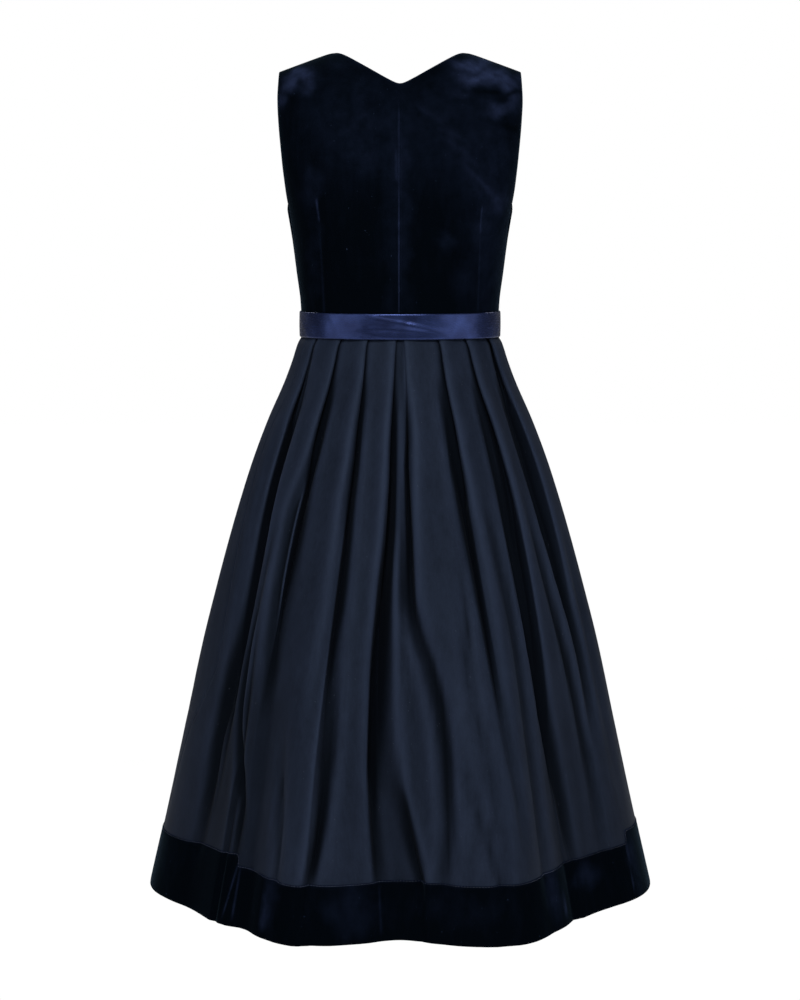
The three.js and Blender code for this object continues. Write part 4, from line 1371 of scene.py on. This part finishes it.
# %% Apron
APRON = 1.0
APRON_ROWS, APRON_COLUMNS = 110, 241
APRON_GATHERS, GATHER_DEPTH = 37, 0.8
APRON_WIDTH = 440  # about, in millimetres at the hem
HEM_LIFT, SIDE_HEM, FOOT_HEM, HEM_STEP = 0.4, 13, 26, 2  # the turned hem's height, widths and edge
APRON_TOP, APRON_HEM = (112, 248), (103, 257)
apron_lift = table("z lift", (-349, 2.6), (-385, 4.5), (-480, 6), (-950, 8))
apron_folds = [
    soft_fold((-352, 119, 1.2, 4), (-480, 117, 4, 9), (-700, 114, 7, 13), (-950, 112, 8, 16)),
    soft_fold((-352, 129, 1, 4), (-460, 128, 5, 8), (-640, 127, 6, 12), (-950, 124, 3, 15)),
    soft_fold((-352, 138, 1.4, 4), (-520, 138, 4, 9), (-760, 139, 8, 13), (-950, 138, 10, 17)),
    soft_fold((-352, 148, 1, 4), (-430, 148, 4, 7), (-600, 150, 3, 10), (-760, 151, 0, 12)),
    soft_fold((-352, 157, 1.3, 4), (-500, 157, 6, 9), (-720, 156, 8, 13), (-950, 154, 7, 17)),
    soft_fold((-352, 167, 1, 4), (-450, 168, 4, 8), (-680, 170, 5, 12), (-950, 171, 9, 16)),
    soft_fold((-352, 176, 1.2, 4), (-480, 177, 5, 8), (-620, 179, 3, 11), (-800, 180, 0, 13)),
    soft_fold((-352, 186, 1, 4), (-520, 187, 6, 9), (-740, 188, 8, 13), (-950, 190, 9, 17)),
    soft_fold((-352, 196, 1.2, 4), (-440, 197, 3, 8), (-640, 199, 5, 12), (-950, 204, 6, 15)),
    soft_fold((-352, 206, 1.3, 4), (-500, 208, 6, 9), (-760, 212, 7, 13), (-950, 217, 9, 17)),
    soft_fold((-352, 216, 1, 4), (-450, 218, 4, 8), (-620, 221, 5, 11), (-820, 226, 0, 13)),
    soft_fold((-352, 226, 1.3, 4), (-480, 229, 6, 9), (-700, 233, 7, 13), (-950, 238, 9, 16)),
    soft_fold((-352, 238, 1.2, 4), (-500, 241, 4, 9), (-740, 246, 6, 13), (-950, 249, 8, 15)),
]


def apron_point(turn, z, off):
    lift = read(apron_lift, "lift", z) + off
    return skirt_form(turn, z) + outwards_of(skirt_form, turn, z) * lift[..., None]


def apron_panel():
    z = crowded(RIBBON_FOOT - SEAM_GAP, APRON_FOOT, APRON_ROWS, (RIBBON_FOOT, 40, 2))[:, None]
    share = np.linspace(0, 1, APRON_COLUMNS)[None]
    z, share = np.broadcast_arrays(z, share)
    down = (RIBBON_FOOT - z) / (RIBBON_FOOT - APRON_FOOT)
    turn = mix(mix(APRON_TOP[0], APRON_HEM[0], down), mix(APRON_TOP[1], APRON_HEM[1], down), share)
    to_edge = np.minimum(share, 1 - share)
    inset = ease(to_edge * 14)
    relief = relief_of(apron_folds, turn, z) * inset
    gather = np.cos(2 * np.pi * (APRON_GATHERS * share + 0.35 * np.sin(9 * share)))
    gather = gather * (1 + 0.5 * np.sin(31 * share)) * (bump(down, 0.06) + ridge(down, 0.4, 0.2))
    relief = relief + GATHER_DEPTH * gather * inset
    side_hem = ease((SIDE_HEM - to_edge * APRON_WIDTH) / HEM_STEP)
    foot_hem = ease((FOOT_HEM - (z - APRON_FOOT)) / HEM_STEP)
    flat = apron_point(turn, z, relief + HEM_LIFT * (side_hem + foot_hem).clip(0, 1))
    grid = np.concatenate([flat, z[..., None]], -1)
    # crest paints a highlight on the ridges of the apron's folds in its finish.
    return shell("apron", grid, APRON, apron_cloth, 0, {"crest": crest_of(flat, relief)})


apron_panel()

# %% [markdown]
# ## The bow
#
# The ribbon's ends are tied in a flat bow over the apron, on the wearer's left of the centre. A
# loop is a strip that goes out from the knot and comes back, wide at its tip and pinched at its
# root. The knot is a short wrap of the same ribbon, and the tails hang from under it.

# %% Bow
BOW_TURN, BOW_Z = 197, -333
KNOT = {"half_width": 9, "half_depth": 5.5, "half_height": 17}
LOOP_ROOT, LOOP_WIDTH, WIDE_AT, DROOP = 8.8, (18, 31), 55, 0.14
LOOP_FOLDS, LOOP_PINCH, LOOP_CUP = (1.1, 3.2), 16, 0.8  # the folds' depth and number come first
TAIL_ROOT, TAIL_WIDTH, TAIL_FOOT, TAIL_SWING = 9, 28, -650, 14
TAIL_FOLDS, TAIL_SLANT, TAIL_LIFT, TAIL_WAVE = (1.2, 6), 7, 5.5, 0.8
LOOP_POINTS, TAIL_POINTS, KNOT_POINTS = (8, 21), (90, 17), (65, 33)  # along the strip and across it
loop_path = table(
    "out off",
    (8.8, 4.6), (26, 3.6), (48, 4.6), (64, 8), (72, 13.5), (70, 19), (58, 21.5), (38, 18),
    (20, 11.5), (8.8, 8.4),
)
bow_degree = float(np.linalg.norm(step_of(ribbon_form, BOW_TURN, 0)))


def bow_loop(name, direction):
    path = np.stack([loop_path["out"], loop_path["off"]], -1)[None]
    out, off = np.moveaxis(curves_through(path, LOOP_POINTS[0])[0], -1, 0)
    across = np.linspace(1, -1, LOOP_POINTS[1])[:, None]
    width = mix(*LOOP_WIDTH, ease(out / WIDE_AT))
    pinch = bump(out - LOOP_ROOT, LOOP_PINCH)
    folds = LOOP_FOLDS[0] * pinch * np.cos(across * LOOP_FOLDS[1] * np.pi)
    cup = -LOOP_CUP * across**2 * (1 - pinch)
    flat = ribbon_point(BOW_TURN + direction * out / bow_degree, off + 0 * out)
    flat = np.broadcast_to(flat[None], across.shape[:1] + flat.shape).copy()
    tall = BOW_Z - DROOP * out + across * width / 2
    grid = np.concatenate([flat, tall[..., None]], -1)
    return shell(name, grid + directions(grid) * (folds + cup)[..., None] * 0.5, RIBBON, satin)


def bow_tail(name, direction):
    top = BOW_Z - KNOT["half_height"] - SEAM_GAP
    z = crowded(top, TAIL_FOOT, TAIL_POINTS[0], (top, 30, 2))[:, None]
    across = np.linspace(-0.5, 0.5, TAIL_POINTS[1])[None]
    z, across = np.broadcast_arrays(z, across)
    down = (top - z) / (top - TAIL_FOOT)
    opened = ease(down * 5)
    width = mix(TAIL_ROOT, TAIL_WIDTH, opened)
    middle = direction * (mix(5.2, 4 + TAIL_WIDTH / 2, opened) + TAIL_SWING * down)
    turn = BOW_TURN + (middle + width * across) / degree_at(BOW_TURN + 0 * z, z)
    over = relief_of(apron_folds, turn, z) * 0.5 + TAIL_LIFT
    hang = apron_point(turn, z, over + TAIL_WAVE * np.sin(down * 17 + direction))
    knot = ribbon_point(turn, RIBBON / 2 + SEAM_GAP + KNOT["half_depth"] + 0 * z)
    flat = mix(knot, hang, ease((top - z) / 13)[..., None])
    fold = TAIL_FOLDS[0] * bump(down, 0.12) * np.cos(across * TAIL_FOLDS[1] * np.pi)
    slant = TAIL_SLANT * across * ease((down - 0.9) / 0.1)
    grid = np.concatenate([flat, (z + slant)[..., None]], -1)
    return shell(name, grid + directions(grid) * fold[..., None] * 0.5, RIBBON, satin)


# %% The knot, and the whole bow
def bow_knot():
    """A wrap of ribbon round the bow's middle, fuller at its sides and with folds down it."""
    turns = np.linspace(0, 2 * np.pi, KNOT_POINTS[0])
    round_turn, across = np.meshgrid(turns, np.linspace(-1, 1, KNOT_POINTS[1]))
    fold = 1 + 0.07 * np.cos(across * 9 + 1) * np.cos(round_turn) ** 2
    tall = KNOT["half_height"] * np.sin(round_turn) * (1 - 0.12 * across**2)
    rim = np.sqrt(np.maximum(1 - np.abs(across) ** 3.4, 0))
    deep = KNOT["half_depth"] * np.cos(round_turn) * rim * fold * 0.93
    wide = KNOT["half_width"] * across
    lean = math.radians(BOW_TURN - 180)
    centre = ribbon_point(float(BOW_TURN), RIBBON / 2 + SEAM_GAP + KNOT["half_depth"])
    x = centre[0] + wide * math.cos(lean) - deep * math.sin(lean)
    y = centre[1] + wide * math.sin(lean) + deep * math.cos(lean)
    points = np.stack([x, y, BOW_Z + tall * np.maximum(rim, 0.25)], -1)[:, :-1]
    rows, columns = points.shape[:2]
    index = np.arange(rows * columns).reshape(rows, columns)
    following = np.roll(index, -1, axis=1)
    faces = np.stack([index[:-1], following[:-1], following[1:], index[1:]], -1).reshape(-1, 4).tolist()
    faces += [index[0, ::-1].tolist(), index[-1].tolist()]
    points = points.reshape(-1, 3) * MM
    return add_mesh("knot", points, faces, satin, points[:, :2], {})


for direction, word in ((1, "left"), (-1, "right")):
    bow_loop(f"loop_{word}", direction)
    bow_tail(f"tail_{word}", direction)
bow_knot()

# %% [markdown]
# ## Riding on the frame
#
# Each piece of cloth stands for the plain solid of the same place. Every sheet says the size that
# it was cut to, so that its finished area can be held against it.

# %% Frame and cuts
# node, slot, width and length in metres, the flat area as a share of them, how the sheet is held
cuts = {
    "back_bodice_left": ("bodice_back_left", "velvet", 0.19, 0.345, 0.80, "stretched"),
    "back_bodice_right": ("bodice_back_right", "velvet", 0.19, 0.345, 0.80, "stretched"),
    "front_bodice_left": ("bodice_front_left", "velvet", 0.21, 0.345, 0.62, "stretched"),
    "front_bodice_right": ("bodice_front_right", "velvet", 0.21, 0.345, 0.62, "stretched"),
    "back_skirt": ("skirt_back", "cloth", 1.1, 0.665, 0.72, "gathered"),
    "front_skirt": ("skirt_front", "cloth", 1.0, 0.665, 0.72, "gathered"),
    "back_border": ("border_back", "velvet", 1.1, 0.069, 0.98, "hung"),
    "front_border": ("border_front", "velvet", 1.0, 0.069, 0.98, "hung"),
    "back_ribbon": ("ribbon_back", "satin", 0.36, 0.032, 1.0, "stretched"),
    "front_ribbon": ("ribbon_front", "satin", 0.34, 0.032, 1.0, "stretched"),
    "apron": ("apron_panel", "apron_cloth", 0.7, 0.63, 0.75, "gathered"),
    "loop_left": ("bow_loop_left", "satin", 0.15, 0.031, 0.9, "folded"),
    "loop_right": ("bow_loop_right", "satin", 0.15, 0.031, 0.9, "folded"),
    "tail_left": ("bow_tail_left", "satin", 0.028, 0.302, 0.97, "hung"),
    "tail_right": ("bow_tail_right", "satin", 0.028, 0.302, 0.97, "hung"),
}


def area_of(piece):
    """The area of one side of a shell, in square metres."""
    return sum(face.area for face in piece.data.polygons) / 2


for name, (node, slot, width, length, share, held) in cuts.items():
    piece, area = pieces[name], share * width * length
    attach(piece, "root")
    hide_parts(node)
    print(f"{name}: {area_of(piece):.4f} m2 worn, {area:.4f} m2 cut")
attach(pieces["knot"], "root")
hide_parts("bow_knot")
for name in ("back_border_stitches", "front_border_stitches"):
    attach(pieces[name], "root")
